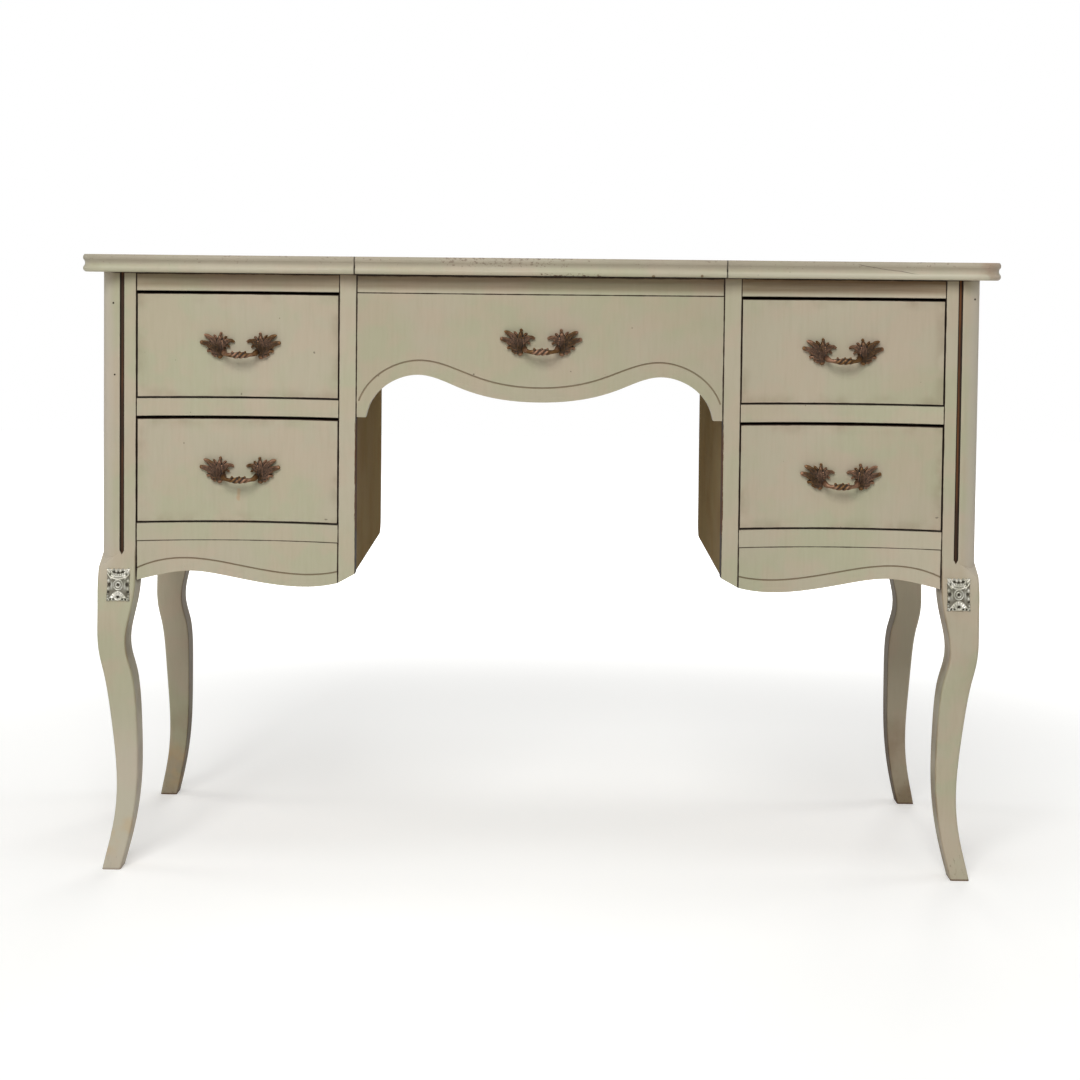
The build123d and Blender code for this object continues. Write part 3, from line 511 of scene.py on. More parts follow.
# %% [markdown]
# The rails lie between posts and stiles, flush with them. Their ends show as dark seams, and the bottom rail
# meets the apron in another. The frieze rails sit in the shade of the top; their brown is partly glaze and
# partly painted shade, deeper just under the top and towards the right, where the light falls off.

# %% Rails
rail_low, rail_high = low("middle_rails").z, high("middle_rails").z
bottom_rail_top = high("bottom_rails").z


def rail_glaze(f):
    ends = seam(abs(f.x), (stile_outer, post_inner), 0.5 * MM)
    edges = seam(f.z, (apron_top, bottom_rail_top, rail_low, rail_high, panel_top), 0.35 * MM, 0.4 * MM)
    under = seam(f.z, (top_under,), 1.1 * MM, 1.4 * MM) * front_face(f)
    return ends.most(edges * 0.7).most(under).most(speckle(f) * 0.6)


# Painted shade, partly glaze: brown on the frieze above the centre front, more on the right, darker just
# under the top.
def rail_wash_and_shade(f):
    frieze_glaze_and_shade = f.z.rise(panel_top + 1 * MM, panel_top + 9 * MM) * (f.x.rise(0.1, 0.35) * 0.22 + 0.50)
    shade = f.z.rise(top_under - 10 * MM, top_under) * 0.3
    brushed = f.noise(1.0, detail=4.0, roughness=0.6, at=f.stretched((7.0, 60.0, 300.0)))
    return (frieze_glaze_and_shade + shade) * (brushed * 0.6 + 0.68) * (front_face(f) * 0.6 + 0.4)


def centre_rail_glaze(f):
    ends = seam(abs(f.x), (kneehole_half,), 1.1 * MM)
    under = seam(f.z, (top_under,), 1.3 * MM, 1.6 * MM) * front_face(f)
    return ends.most(seam(f.z, (panel_top,), 0.45 * MM)).most(under)


dress(painted("paint_rails", rail_glaze, rail_wash_and_shade), "top_rails", "middle_rails", "bottom_rails")
dress(painted("paint_frieze", centre_rail_glaze, rail_wash_and_shade), "centre_rail")
print("rails at", [round(v, 4) for v in (apron_top, bottom_rail_top, rail_low, rail_high, panel_top)])

# %% [markdown]
# The stiles stand on both sides of the kneehole. Knees and chairs have rubbed the paint off their inner
# arris in short lengths, most of all between 0.44 and 0.54 m, the height of a sitter's knees.

# %% Stiles


def stile_glaze(f):
    sides = seam(abs(f.x), (kneehole_half, stile_outer), 0.45 * MM)
    return sides.most(seam(f.z, (top_under,), 0.8 * MM, 1.0 * MM) * 0.8).most(speckle(f) * 0.6)


# Painted shade below the top's overhang, and a little on the right stile, where the light falls off.
def stile_shade(f):
    return shade_under_top(f) * 0.75 + f.x.rise(0.1, 0.2) * 0.06


def stile_chips(f):
    """Paint rubbed off in short lengths along the kneehole arris."""
    edge = abs(f.x).rise(kneehole_half + 3.2 * MM, kneehole_half + 0.6 * MM)
    run = f.noise(1.0, detail=5.0, roughness=0.75, at=f.stretched((900.0, 100.0, 60.0)))
    height = f.z.rise(0.40, 0.44) * f.z.rise(0.60, 0.54)
    return (edge * run * (height * 0.75 + 0.45)).rise(0.46, 0.54)


dress(painted("paint_stiles", stile_glaze, stile_shade, stile_chips), *each_side("inner_stile"))
print("stiles from", round(kneehole_half, 4), "to", round(stile_outer, 4))

# %% [markdown]
# Each front post carries a flute, left dark brown from top to pointed tip. It is lighter and redder down its
# middle, where the cloth just touched it.

# %% Flutes
FLUTE_FROM, FLUTE_TO, FLUTE_DEEP = 15.0 * MM, 20.5 * MM, 3.0 * MM
FLUTE_FOOT = 0.3920
FLUTE_RED = paint(118, 70, 30)
flute_middle = (FLUTE_FROM + FLUTE_TO) / 2


def in_flute(f):
    across = (abs(f.x) - post_inner).near(flute_middle, (FLUTE_TO - FLUTE_FROM) / 2, 0.3 * MM)
    deep = (f.y - front_y).near(FLUTE_DEEP * 0.55, FLUTE_DEEP * 0.5, 0.25 * MM)
    return (across * deep * f.z.rise(FLUTE_FOOT, FLUTE_FOOT + 0.5 * MM) * 1.5).least(1.0)


def flute_red(f):
    """The worn middle of a flute, in long patches, more often on the right and higher up."""
    worn = f.noise(1.0, detail=3.0, at=f.stretched((60.0, 60.0, 14.0))).rise(0.36, 0.58) * 0.75 + 0.25
    often = f.x.rise(-0.1, 0.1) * 0.3 + f.z.rise(0.42, 0.60) * 0.4 + 0.3
    middle = (abs(f.x) - post_inner).near(flute_middle, 0.3 * MM, 1.5 * MM)
    return in_flute(f) * worn * often * middle * 0.8


print("flute from", round(post_inner + FLUTE_FROM, 4), "to", round(post_inner + FLUTE_TO, 4))

# %% [markdown]
# The legs have browned with dust and polish, in patches. Their faces that look to the kneehole or the back
# carry painted shade, and the rear legs darken towards the floor, partly dust and partly painted shade. The
# left feet are rubbed to ochre on the outside, and the left front leg is pale above its foot. The outer
# corners of both front posts are paler, partly rubbed and partly a painted highlight. Two nail holes in the
# left post and one in the right were left open.

# %% Legs
OCHRE = paint(196, 160, 108)
CREAM_PALE = paint(198, 188, 172)
FOOT_HEIGHT = 0.12
NAIL_HOLES = (((-0.5237, 0.7024), 1.0 * MM), ((-0.5218, 0.6145), 0.9 * MM), ((0.5308, 0.7174), 1.0 * MM))


def post_glaze(f):
    inner = seam(abs(f.x), (post_inner,), 0.6 * MM) * f.z.rise(0.352, 0.36)
    collar = seam(f.z, (top_under,), 0.8 * MM, 1.0 * MM) * 0.8
    return inner.most(collar).most(in_flute(f)).most(speckle(f) * 0.6)


def inward(f):
    """Across direction of the surface, 1 away from the kneehole and -1 towards it."""
    return f.out_x * (f.x / abs(f.x))


def turned_away_shade(f):
    """Painted shade, most on a leg's faces that look to the kneehole or the back."""
    return inward(f).rise(-0.2, -0.8) * 0.42 + f.out_y.rise(0.2, 0.9) * 0.4


def leg_patches(f):
    return f.noise(16.0, detail=4.0).rise(0.40, 0.66)


# Painted shade on faces turned away and under the top, in dusty patches; the right leg a little darker
# between 0.15 and 0.42 m.
def front_leg_wash_and_shade(f):
    right = f.x.rise(0.40, 0.45) * f.z.rise(0.15, 0.30) * f.z.rise(0.42, 0.36) * 0.10
    return (turned_away_shade(f) * 1.25 + 0.04 + right) * (leg_patches(f) * 0.7 + 0.4) + shade_under_top(f) * 0.6


def rear_leg_shade(f):
    """Painted shade on the rear legs' faces that look to the kneehole."""
    return inward(f).rise(-0.5, -0.9) * 0.6


def rear_leg_wash_and_shade(f):
    """Brown all over and darker towards the floor, the right leg more so: partly dust and partly painted
    shade.
    """
    dust_and_shade = f.z.rise(0.24, 0.03) * (f.x.rise(0.0, 0.1) * 0.22 + 0.38)
    # Painted shade on the faces turned away is added on top.
    return (dust_and_shade + turned_away_shade(f) * 0.7) * (leg_patches(f) * 0.5 + 0.6)


def leg_chips(f):
    worn = f.z.rise(FOOT_HEIGHT, 0.0)
    grain = f.noise(1.0, detail=5.0, roughness=0.7, at=f.stretched((260.0, 260.0, 110.0)))
    return ((worn * 0.22 + grain * 0.62).rise(0.56, 0.62) * 0.3).most(f.z.rise(3.0 * MM, 1.0 * MM) * 0.8)


def leg_marks(f):
    rub = f.noise(34.0, detail=4.0).rise(0.42, 0.60)
    ochre = f.z.near(0.045, 0.022, 0.022) * rub * f.x.rise(-0.47, -0.50)
    pale = f.z.rise(0.26, 0.10) * f.x.rise(-0.40, -0.45) * f.y.rise(0.0, -0.1) * 0.5
    # Paler outer corners of the front posts: partly rubbed paint and partly a painted highlight.
    corner = (abs(f.x) - post_inner).rise(24 * MM, 36 * MM) * f.z.rise(0.34, 0.40)
    corner = corner * f.y.rise(0.0, -0.1) * 0.55
    return (flute_red(f), FLUTE_RED), (pale.most(corner), CREAM_PALE), (ochre * 0.28, OCHRE)


def front_post_marks(f):
    """What every leg has, and the nail holes of the posts."""
    return (*leg_marks(f), (dots(f, NAIL_HOLES, 0.5 * MM), GLAZE_AND_SHADE))


front_leg_paint = painted("paint_front_legs", post_glaze, front_leg_wash_and_shade, leg_chips, front_post_marks)
dress(front_leg_paint, *each_side("leg_front"))
dress(painted("paint_rear_legs", rear_leg_shade, rear_leg_wash_and_shade, leg_chips, leg_marks), *each_side("leg_rear"))
print("legs painted, with", len(NAIL_HOLES), "nail holes")

# %% [markdown]
# The carved line of the aprons and of the centre front is a shallow groove that follows the shaped edge, and
# a thin brown wash lies in it. The groove is found by depth: each front is part of a cylinder, so a point's
# distance from the cylinder's axis, less the radius, says how far below the face it lies.

# %% Aprons and centre front
GROOVE_FROM, GROOVE_TO = 0.25 * MM, 1.45 * MM


def far_from(x, y, centre):
    """Distance in plan from the axis of a curved front."""
    away_x, away_y = x - centre[0], y - centre[1]
    return (away_x * away_x + away_y * away_y) ** 0.5


def groove(f, depth):
    """1 in a carved line, where a front-facing surface lies a little below the face."""
    soft = 0.2 * MM
    inside = depth.rise(GROOVE_FROM, GROOVE_FROM + soft) * depth.rise(GROOVE_TO + soft, GROOVE_TO)
    return inside * f.out_y.rise(-0.1, -0.6)


def apron_glaze(f):
    ends = seam(abs(f.x), (stile_outer, post_inner), 0.9 * MM)
    return ends.most(seam(f.z, (apron_top,), 0.45 * MM)).most(speckle(f) * 0.6)


def underside_wash(f):
    """Brown on the shaped lower edge, which looks down."""
    return f.out_z.rise(-0.2, -0.7) * 0.55


def apron_wash(f):
    depth = far_from(abs(f.x), f.y, (bay_middle, hollow_centre_y)) - hollow_radius
    return underside_wash(f).most(groove(f, depth) * 0.6)


def centre_wash(f):
    """The centre front is a shade browner than the drawers."""
    depth = bow_radius - far_from(f.x, f.y, (0.0, bow_centre_y))
    return underside_wash(f).most(0.10).most(groove(f, depth) * 0.6)


def centre_glaze(f):
    edges = seam(f.z, (panel_top,), 0.45 * MM).most(seam(abs(f.x), (kneehole_half,), 0.9 * MM))
    return edges.most(speckle(f) * 0.6)


dress(painted("paint_aprons", apron_glaze, apron_wash), *each_side("apron"))
dress(painted("paint_centre_front", centre_glaze, centre_wash), "centre_front")
print("grooves between", GROOVE_FROM, "and", GROOVE_TO, "m deep")

# %% [markdown]
# A drawer front is rubbed pale in its middle and dark along its rim, where fingers and the case wear it. The
# right drawers carry painted shade towards their right, where the light falls off. The lower left drawer has
# an orange water stain. The rim follows the node's own box, so it fits all four.

# %% Drawer fronts
RIM, SIDE_RIM = 0.5 * MM, 0.25 * MM
STAIN, STAIN_X, STAIN_Z = paint(186, 140, 96), -0.3712, 0.4665
drawer_levels = sorted({round(value, 5) for level in LEVELS for value in
                        (low(f"drawer_front_{level}_right").z, high(f"drawer_front_{level}_right").z)})
drawer_sides = (low("drawer_front_upper_right").x, high("drawer_front_upper_right").x)


def drawer_glaze(f):
    rim = seam(f.z, drawer_levels, RIM, 0.6 * MM).most(seam(abs(f.x), drawer_sides, SIDE_RIM, 0.4 * MM))
    return rim.most(speckle(f) * 0.5)


def drawer_edges(f):
    """A drawer front was painted on its face only, so its edges and its back are brown."""
    return f.out_y.rise(-0.6, -0.2) * 0.85


def drawer_wash_and_shade(f):
    """A wide faint browning towards the rim, in patches, and painted shade on the right drawers' outer half.
    """
    gap = abs(f.z - drawer_levels[0])
    for level in drawer_levels[1:]:
        gap = gap.least(abs(f.z - level))
    for side in drawer_sides:
        gap = gap.least(abs(abs(f.x) - side))
    # Painted shade on the right drawers' outer half, where the light falls off.
    shade = f.x.rise(0.33, 0.50) * 0.12
    return gap.rise(16 * MM, 1 * MM) * f.noise(30.0, detail=4.0).rise(0.40, 0.68) * 0.22 + shade


def drawer_marks(f):
    ragged = f.noise(120.0, detail=4.0) * 0.006
    stain = (abs(f.x - STAIN_X) + ragged).rise(6.5 * MM, 3.0 * MM) * f.z.near(STAIN_Z, 6.0 * MM, 3.0 * MM)
    return ((stain * 0.45, STAIN),)


drawer_fronts = [f"drawer_front_{level}_{side}" for level in LEVELS for side in SIDES]
dress(painted("paint_drawers", drawer_glaze, drawer_wash_and_shade, drawer_edges, drawer_marks), *drawer_fronts)
print("drawer rims at", drawer_levels, drawer_sides)

# %% [markdown]
# The top's edge is moulded: an upper nose, a shallow cove and a round bead. The bead carries a painted
# highlight, strongest on the right, and the nose grey painted shade. Where the lid meets the fixed sides
# the wood's end is dark, and the paint has chipped along the upper arris, mostly on the lid. A long crack
# runs along the right side's edge, and the edge of the lid has two small dents.

# %% Top and lid
lid_edge = high("lid").x
seam_edge = low("top_right").x
bead_top = top_under + 7.6 * MM
# Grey for the painted shade on the top's nose.
NOSE_SHADE_GREY = paint(160, 150, 132)
TOP_ROSY = paint(168, 142, 122)
CRACK_FROM, CRACK_TO, CRACK_SLOPE, CRACK_DOWN = 0.385, 0.455, 0.15, 3.6 * MM
DENTS = (((0.136, 0.741), 1.6 * MM), ((0.195, 0.7425), 1.2 * MM))


def top_glaze(f):
    seam_middle = (lid_edge + seam_edge) / 2
    ends = abs(f.x).near(seam_middle, 1.4 * MM, 0.3 * MM) * abs(f.out_x).rise(0.7, 0.9)
    return ends.most(abs(f.x).near(seam_middle, 0.9 * MM, 0.5 * MM) * 0.8).most(speckle(f) * 0.5)


def top_chips(f):
    """Small chips along the upper arris, most of them on the middle of the lid, and some on its bead."""
    near_front = f.y.rise(front_y + 0.03, front_y)
    nose = f.z.rise(table_height - 12 * MM, table_height - 9 * MM)
    bead = f.z.rise(top_under + 4.5 * MM, top_under + 2.5 * MM) * f.x.near(0.035, 0.03, 0.02)
    grain = f.noise(1.0, detail=3.0, roughness=0.7, at=f.stretched((230.0, 330.0, 330.0)))
    often = f.x.near(-0.04, 0.055, 0.05) * 0.08
    often = often + f.z.rise(table_height - 4 * MM, table_height - 2 * MM) * 0.03
    chips = ((grain + often).rise(0.65, 0.67) * nose).most((grain + 0.08).rise(0.64, 0.66) * bead)
    return chips * near_front * f.out_y.rise(0.0, -0.2)


def top_marks(f):
    front = f.y.rise(front_y + 0.02, front_y - 0.01) * front_face(f)
    waver = (f.noise(60.0, detail=3.0) - 0.5) * 0.003
    line = f.z - (table_height - CRACK_DOWN) + (f.x - CRACK_FROM) * CRACK_SLOPE + waver
    length = f.x.rise(CRACK_FROM - 0.001, CRACK_FROM + 0.005) * f.x.rise(CRACK_TO + 0.007, CRACK_TO - 0.007)
    crack = abs(line).rise(0.5 * MM, 0.15 * MM) * length * front
    dent = dots(f, DENTS, 1.0 * MM) * front
    # Painted shade: grey on the nose above the bead, less on the upward face.
    upper = f.z.rise(bead_top, bead_top + 5.0 * MM) * (f.noise(14.0, detail=3.0) * 0.7 + 0.35)
    upper = upper * (f.out_z.rise(0.9, 0.6) * 0.75 + 0.25)
    # Painted highlight: paler cream on the bead, strongest on the right.
    highlight_share = f.x.rise(0.15, 0.3) * 0.7 + f.x.rise(-0.15, -0.3) * 0.2 + 0.1
    pale = f.z.near(top_under + 4.0 * MM, 2.2 * MM, 2.5 * MM) * highlight_share
    right_end = f.x.rise(0.515, 0.545) * f.y.rise(front_y + 0.06, front_y + 0.01)
    rosy = f.noise(45.0, detail=3.0).rise(0.40, 0.55) * right_end * 0.6
    return ((upper, NOSE_SHADE_GREY), (pale, CREAM_WORN_AND_LIT), (rosy, TOP_ROSY), (crack * 0.7, GLAZE_AND_SHADE),
            (dent * 0.8, WASH_AND_SHADE))


dress(painted("paint_top", top_glaze, None, top_chips, top_marks), *each_side("top"), "lid", "top_rear_strip")
print("lid ends at", round(lid_edge, 4), "fixed top starts at", round(seam_edge, 4))

# %% [markdown]
# The kneehole's sides are painted a yellower brown, mostly painted shade and partly a browner paint, deepest
# at the back, and have no gloss. The outer sides are painted as the fronts are, with a little glaze where
# they meet the top and the posts, and painted shade under the top. The same paint, without seams, lines the
# well below the lid, painted shade and all.

# %% Sides, well and mirror frame
# Yellower brown of the kneehole's sides, mostly used as painted shade.
KNEEHOLE_BROWN_AND_SHADE = paint(150, 126, 84)
FRAME_WIDTH = 26 * MM


# Painted shade with some browner paint: a brown wash over the kneehole's sides, in patches.
def kneehole_wash_and_shade(f):
    return f.noise(12.0, detail=4.0).rise(0.35, 0.70) * 0.16 + 0.62


def kneehole_shade_marks(f):
    """Painted shade in a yellower brown and in glaze, deepest at the back."""
    return (f.y.rise(-0.15, 0.20) * 0.2 + 0.38, KNEEHOLE_BROWN_AND_SHADE), (f.y.rise(-0.16, 0.24) * 0.26, GLAZE_AND_SHADE)


def side_glaze(f):
    ends = (low("outer_side_right").y, high("outer_side_right").y)
    under = seam(f.z, (top_under,), 1.0 * MM, 1.2 * MM)
    return seam(f.y, ends, 1.0 * MM).most(under).most(speckle(f) * 0.6)


# Painted shade below the top's overhang, and browner patches; the well's sides get it too.
def side_wash_and_shade(f):
    return shade_under_top(f) * 0.6 + f.noise(10.0, detail=3.0).rise(0.5, 0.75) * 0.12


def frame_glaze(f):
    """Dark lines along the mirror frame's inner and outer arrises."""
    first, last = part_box("mirror_frame")
    across = seam(abs(f.x), (last.x, last.x - FRAME_WIDTH), 0.8 * MM)
    return across.most(seam(f.y, (first.y, last.y), 0.8 * MM))


kneehole_paint = painted("paint_kneehole", None, kneehole_wash_and_shade, None, kneehole_shade_marks, gloss=0.0)
dress(kneehole_paint, *each_side("inner_side"))
dress(painted("paint_sides", side_glaze, side_wash_and_shade), *each_side("outer_side"))
dress(painted("paint_well", None, side_wash_and_shade), "well_sides", "well_bottom", "well_back")
dress(painted("paint_mirror_frame", frame_glaze), "mirror_frame")
print("sides, well and mirror frame painted")

# %% [markdown]
# The drawers are bare softwood inside. Grain is noise stretched along the board: long fibres one way, growth
# rings the other. Walls and runners run front to back, the bottoms run across, so the stretch is given for
# each, and a face that looks to the front or the back always belongs to a board that runs across. The thin
# backing boards are darker and coarser.

# %% Bare wood
SOFTWOOD = (paint(150, 112, 68), paint(182, 143, 94), paint(203, 168, 118))
BOARD = (paint(84, 58, 34), paint(112, 80, 48), paint(138, 101, 63))
ACROSS = (3.0, 42.0, 42.0)


def bare_wood(name, tones, stretch, rough=0.62):
    """Bare timber: broad rings and fine fibres, both stretched along the grain."""
    f = Finish(name)
    turned = abs(f.out_y).rise(0.4, 0.6)

    def grain(scale):
        return f.add("ShaderNodeMix", {"data_type": "VECTOR"}, {
            "Factor": turned, "A": f.stretched([s * scale for s in stretch]),
            "B": f.stretched([s * scale for s in ACROSS])})

    rings = f.noise(1.0, detail=3.0, roughness=0.55, at=grain(1.0), distortion=0.6)
    fibres = f.noise(1.0, detail=4.0, roughness=0.7, at=grain(9.0))
    tone = rings * 0.7 + fibres * 0.3
    colour = f.add("ShaderNodeValToRGB", {"stops": tuple(zip((0.34, 0.5, 0.66), tones))}, (tone,))
    return f.principled(Base_Color=colour, Roughness=tone * 0.2 + rough, Normal=f.bump(fibres, 0.12 * MM),
                        Specular_IOR_Level=0.3)


along = bare_wood("softwood_lengthways", SOFTWOOD, (42.0, 3.0, 42.0))
across = bare_wood("softwood_crossways", SOFTWOOD, ACROSS)
board = bare_wood("backing_board", BOARD, (30.0, 3.0, 30.0), 0.7)
for level in LEVELS:
    dress(along, *each_side(f"drawer_walls_{level}"))
    dress(across, *each_side(f"drawer_bottom_{level}"))
dress(along, "drawer_runners")
dress(board, *each_side("back"), "mirror_backing")
print("bare wood on", 2 * len(LEVELS) * 2 + 4, "nodes")

# %% [markdown]
# Brass and steel are one kind of metal finish: a colour, dulled in patches, with fine scratches in its
# roughness. The mirror is glass with a silvered back. Old silvering goes first at the edges, in dark
# freckles, so its foxing grows towards the frame.

# %% Brass, steel and mirror
BRASS, BRASS_DULL = paint(198, 164, 96), paint(128, 98, 54)
STEEL, STEEL_DULL = paint(176, 176, 174), paint(112, 110, 106)
SILVERING, FOXING = paint(226, 230, 228), paint(58, 50, 40)


def worked_metal(name, bright, dull):
    """Sheet or turned metal, dulled in patches."""
    f = Finish(name)
    patches = f.noise(90.0, detail=4.0).rise(0.42, 0.68)
    scratches = f.noise(1.0, detail=3.0, at=f.stretched((900.0, 120.0, 900.0)))
    return f.principled(Base_Color=f.mix(patches * 0.7, bright, dull), Metallic=1.0,
                        Roughness=patches * 0.2 + scratches * 0.15 + 0.2, Normal=f.bump(scratches, 0.02 * MM))


def mirror_finish():
    f = Finish("old_mirror")
    first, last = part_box("mirror_glass")
    edge = (last.x - abs(f.x)).least(f.y - first.y).least(last.y - f.y)
    freckles = f.noise(220.0, detail=5.0, roughness=0.7)
    fox = (freckles + edge.rise(0.03, 0.0) * 0.20).rise(0.72, 0.84)
    return f.principled(Base_Color=f.mix(fox, SILVERING, FOXING), Metallic=1.0 - fox * 0.7,
                        Roughness=fox * 0.4 + 0.03)


dress(worked_metal("aged_brass", BRASS, BRASS_DULL), "hinge_leaves_lid", "hinge_leaves_fixed", "hinge_pins",
      "hinge_screws_lid", "hinge_screws_fixed", "lid_stays", "stay_guides")
screw_nodes = [f"pull_screws_{level}_{side}" for level in LEVELS for side in SIDES]
dress(worked_metal("screw_steel", STEEL, STEEL_DULL), "pull_screws_centre", *screw_nodes)
dress(mirror_finish(), "mirror_glass")
print("metals on", 8 + len(screw_nodes), "nodes")

# %% [markdown]
# Now the castings. A cast ornament could be sculpted, but leaves obey a rule: a rib that bends, a width that
# swells and tapers, edges cut into lobes, and veins that run from root to tip. So a leaf is a function of two
# parameters, how far along the rib and how far round the leaf, and numpy works it out for all points at once.

# %% Grids and leaves
LEAF_ROWS, LEAF_COLUMNS = 44, 36


def quads(rows, columns):
    """Faces of a tube-like grid numbered row by row, whose last column joins the first."""
    row, column = np.meshgrid(np.arange(rows - 1), np.arange(columns), indexing="ij")
    after = (column + 1) % columns
    here, above = row * columns, (row + 1) * columns
    corners = (here + column, here + after, above + after, above + column)
    return np.stack([corner.ravel() for corner in corners], axis=1)


def unit(vectors):
    """Vectors made one long."""
    return vectors / np.linalg.norm(vectors, axis=-1, keepdims=True)


def bend_line(root, middle, tip, t):
    """Quadratic curve: (1-t)^2 root + 2t(1-t) middle + t^2 tip, with its direction."""
    root, middle, tip = (np.array(point, float) for point in (root, middle, tip))
    place = (1 - t)**2 * root + 2 * t * (1 - t) * middle + t**2 * tip
    return place, unit(2 * (1 - t) * (middle - root) + 2 * t * (tip - middle))


def leaf(root, middle, tip, width, height, lobes=2, veins=2, cut=0.34, blunt=5):
    """A cast leaf about a bent rib, in millimetres; a point is (across, out of the wall, up).

    Half width = width * (0.55 + 0.45 sin(pi t / 1.1)) * sqrt(1 - t^blunt), cut by notches between round
    lobes. Round the leaf at angle a: sideways cos(a), and outwards sin(a) * height, with veins as
    a cosine across the front; the back is half as thick. Both ends close.
    """
    t = np.linspace(0, 1, LEAF_ROWS)[:, None, None]
    a = np.linspace(0, 2 * np.pi, LEAF_COLUMNS, endpoint=False)[None, :, None]
    place, ahead = bend_line(root, middle, tip, t)
    sideways = unit(np.cross(ahead, (0.0, 1.0, 0.0)))
    outwards = unit(np.cross(sideways, ahead))
    cap = np.sqrt(np.clip(t / 0.05, 0, 1) * np.clip((1 - t) / 0.03, 0, 1))
    notches = 1 - cut * (0.5 - 0.5 * np.cos(2 * np.pi * lobes * t)) ** 4 * np.clip(4 * t, 0, 1)
    spread = width * (0.55 + 0.45 * np.sin(np.pi * t / 1.1)) * np.sqrt(1 - t**blunt) * notches * cap
    vein = 0.42 * np.cos(2 * np.pi * veins * np.cos(a)) * np.clip(np.sin(a), 0, 1)
    swell = np.where(np.sin(a) > 0, np.sin(a) + vein, 0.5 * np.sin(a))
    rise = height * (0.65 + 0.35 * np.sin(np.pi * t)) * cap
    return (place + sideways * np.cos(a) * spread + outwards * swell * rise).reshape(-1, 3)


def ball(centre, radii):
    """A round lump: (cos u cos v, sin u, cos u sin v) scaled, u from pole to pole and v round."""
    u = np.linspace(-np.pi / 2, np.pi / 2, LEAF_ROWS)[:, None]
    v = np.linspace(0, 2 * np.pi, LEAF_COLUMNS, endpoint=False)[None, :]
    points = np.stack([np.cos(u) * np.cos(v), np.sin(u) + 0 * v, np.cos(u) * np.sin(v)], axis=-1)
    return (points * np.array(radii) + np.array(centre)).reshape(-1, 3)


print("a leaf has", LEAF_ROWS * LEAF_COLUMNS, "points")

# %% [markdown]
# One side of a pull is a cluster of acanthus: leaves that spring from a knob at the bottom and fan out, over
# a thick heart that the screws bite into. The other side is its mirror image. Places are in millimetres from
# the pull's middle: across, out of the wall, up.

# %% The leaf cluster
HEART = ((27.5, 0.0, -1.5), (8.5, 5.0, 9.2))
CLUSTER = (
    # root, middle and tip of the rib, half width, height, and what the edge differs in
    ((25.8, 4.0, -14.0), (27.4, 10.6, -2.0), (25.6, 5.0, 12.0), 4.6, 2.3, dict(lobes=1, veins=3, cut=0.06)),
    ((25.4, 4.5, 2.0), (25.4, 7.0, 10.0), (25.0, 2.6, 16.8), 3.0, 1.9, {}),
    ((26.6, 4.5, -12.0), (28.6, 10.2, 8.6), (46.4, 3.0, 13.6), 3.7, 2.0, dict(veins=3, cut=0.14, blunt=9)),
    ((27.0, 4.5, -12.0), (31.0, 10.0, 2.4), (51.3, 2.8, 4.2), 4.3, 2.1, dict(veins=3, cut=0.16, blunt=9)),
    ((27.5, 4.0, -11.0), (32.0, 7.6, -4.0), (43.0, 2.2, -0.8), 2.6, 1.6, dict(lobes=1)),
    ((27.0, 4.0, -12.0), (33.5, 8.0, -5.0), (41.8, 2.8, -6.2), 3.2, 2.0, dict(veins=3)),
    ((27.0, 4.0, -12.5), (31.5, 7.0, -11.5), (36.6, 2.4, -10.4), 2.9, 1.8, {}),
    ((26.0, 4.0, 3.0), (29.5, 6.8, 9.5), (34.2, 2.6, 13.4), 2.3, 1.5, dict(lobes=1, veins=1)),
    ((25.0, 4.5, -9.0), (22.0, 9.6, 10.4), (7.4, 2.4, 5.2), 3.7, 2.0, dict(veins=3, cut=0.2)),
    ((24.5, 4.5, -6.0), (21.0, 8.0, 5.6), (13.2, 2.6, -2.4), 2.9, 1.9, {}),
    ((24.5, 4.5, 3.0), (21.0, 6.8, 9.8), (17.2, 2.4, 11.0), 2.4, 1.5, dict(lobes=1, veins=1)),
)
KNOBS = (
    ((26.0, 3.6, -12.8), (3.7, 3.5, 3.6)),
    ((40.4, 3.4, -6.4), (2.2, 2.0, 2.2)),
    ((9.6, 2.8, 5.2), (2.0, 1.8, 1.9)),
    ((48.6, 3.4, 4.0), (2.7, 2.3, 2.6)),
    ((24.9, 3.0, 14.8), (2.1, 1.9, 2.0)),
)
BEADS, BEAD_SIZE = 7, 1.2
BEAD_START, BEAD_END = np.array((21.4, 6.4, -8.6)), np.array((22.6, 8.8, 5.6))


def bead_row():
    """A row of small beads up the shell's inner edge."""
    return [ball(BEAD_START + (BEAD_END - BEAD_START) * step / (BEADS - 1), (BEAD_SIZE,) * 3)
            for step in range(BEADS)]


cluster = [ball(*HEART)]
cluster += [leaf(*shape, **edge) for *shape, edge in CLUSTER]
cluster += [ball(*knob) for knob in KNOBS]
cluster += bead_row()
print("one cluster:", len(cluster), "shapes")

# %% [markdown]
# The bar swings out from under each cluster and runs level in front of the drawer. Its middle is wrapped in
# leaves that twist round it, which reads as a rope from afar. It is one tube along a rounded rectangle, with
# a radius that changes both along it and round it.

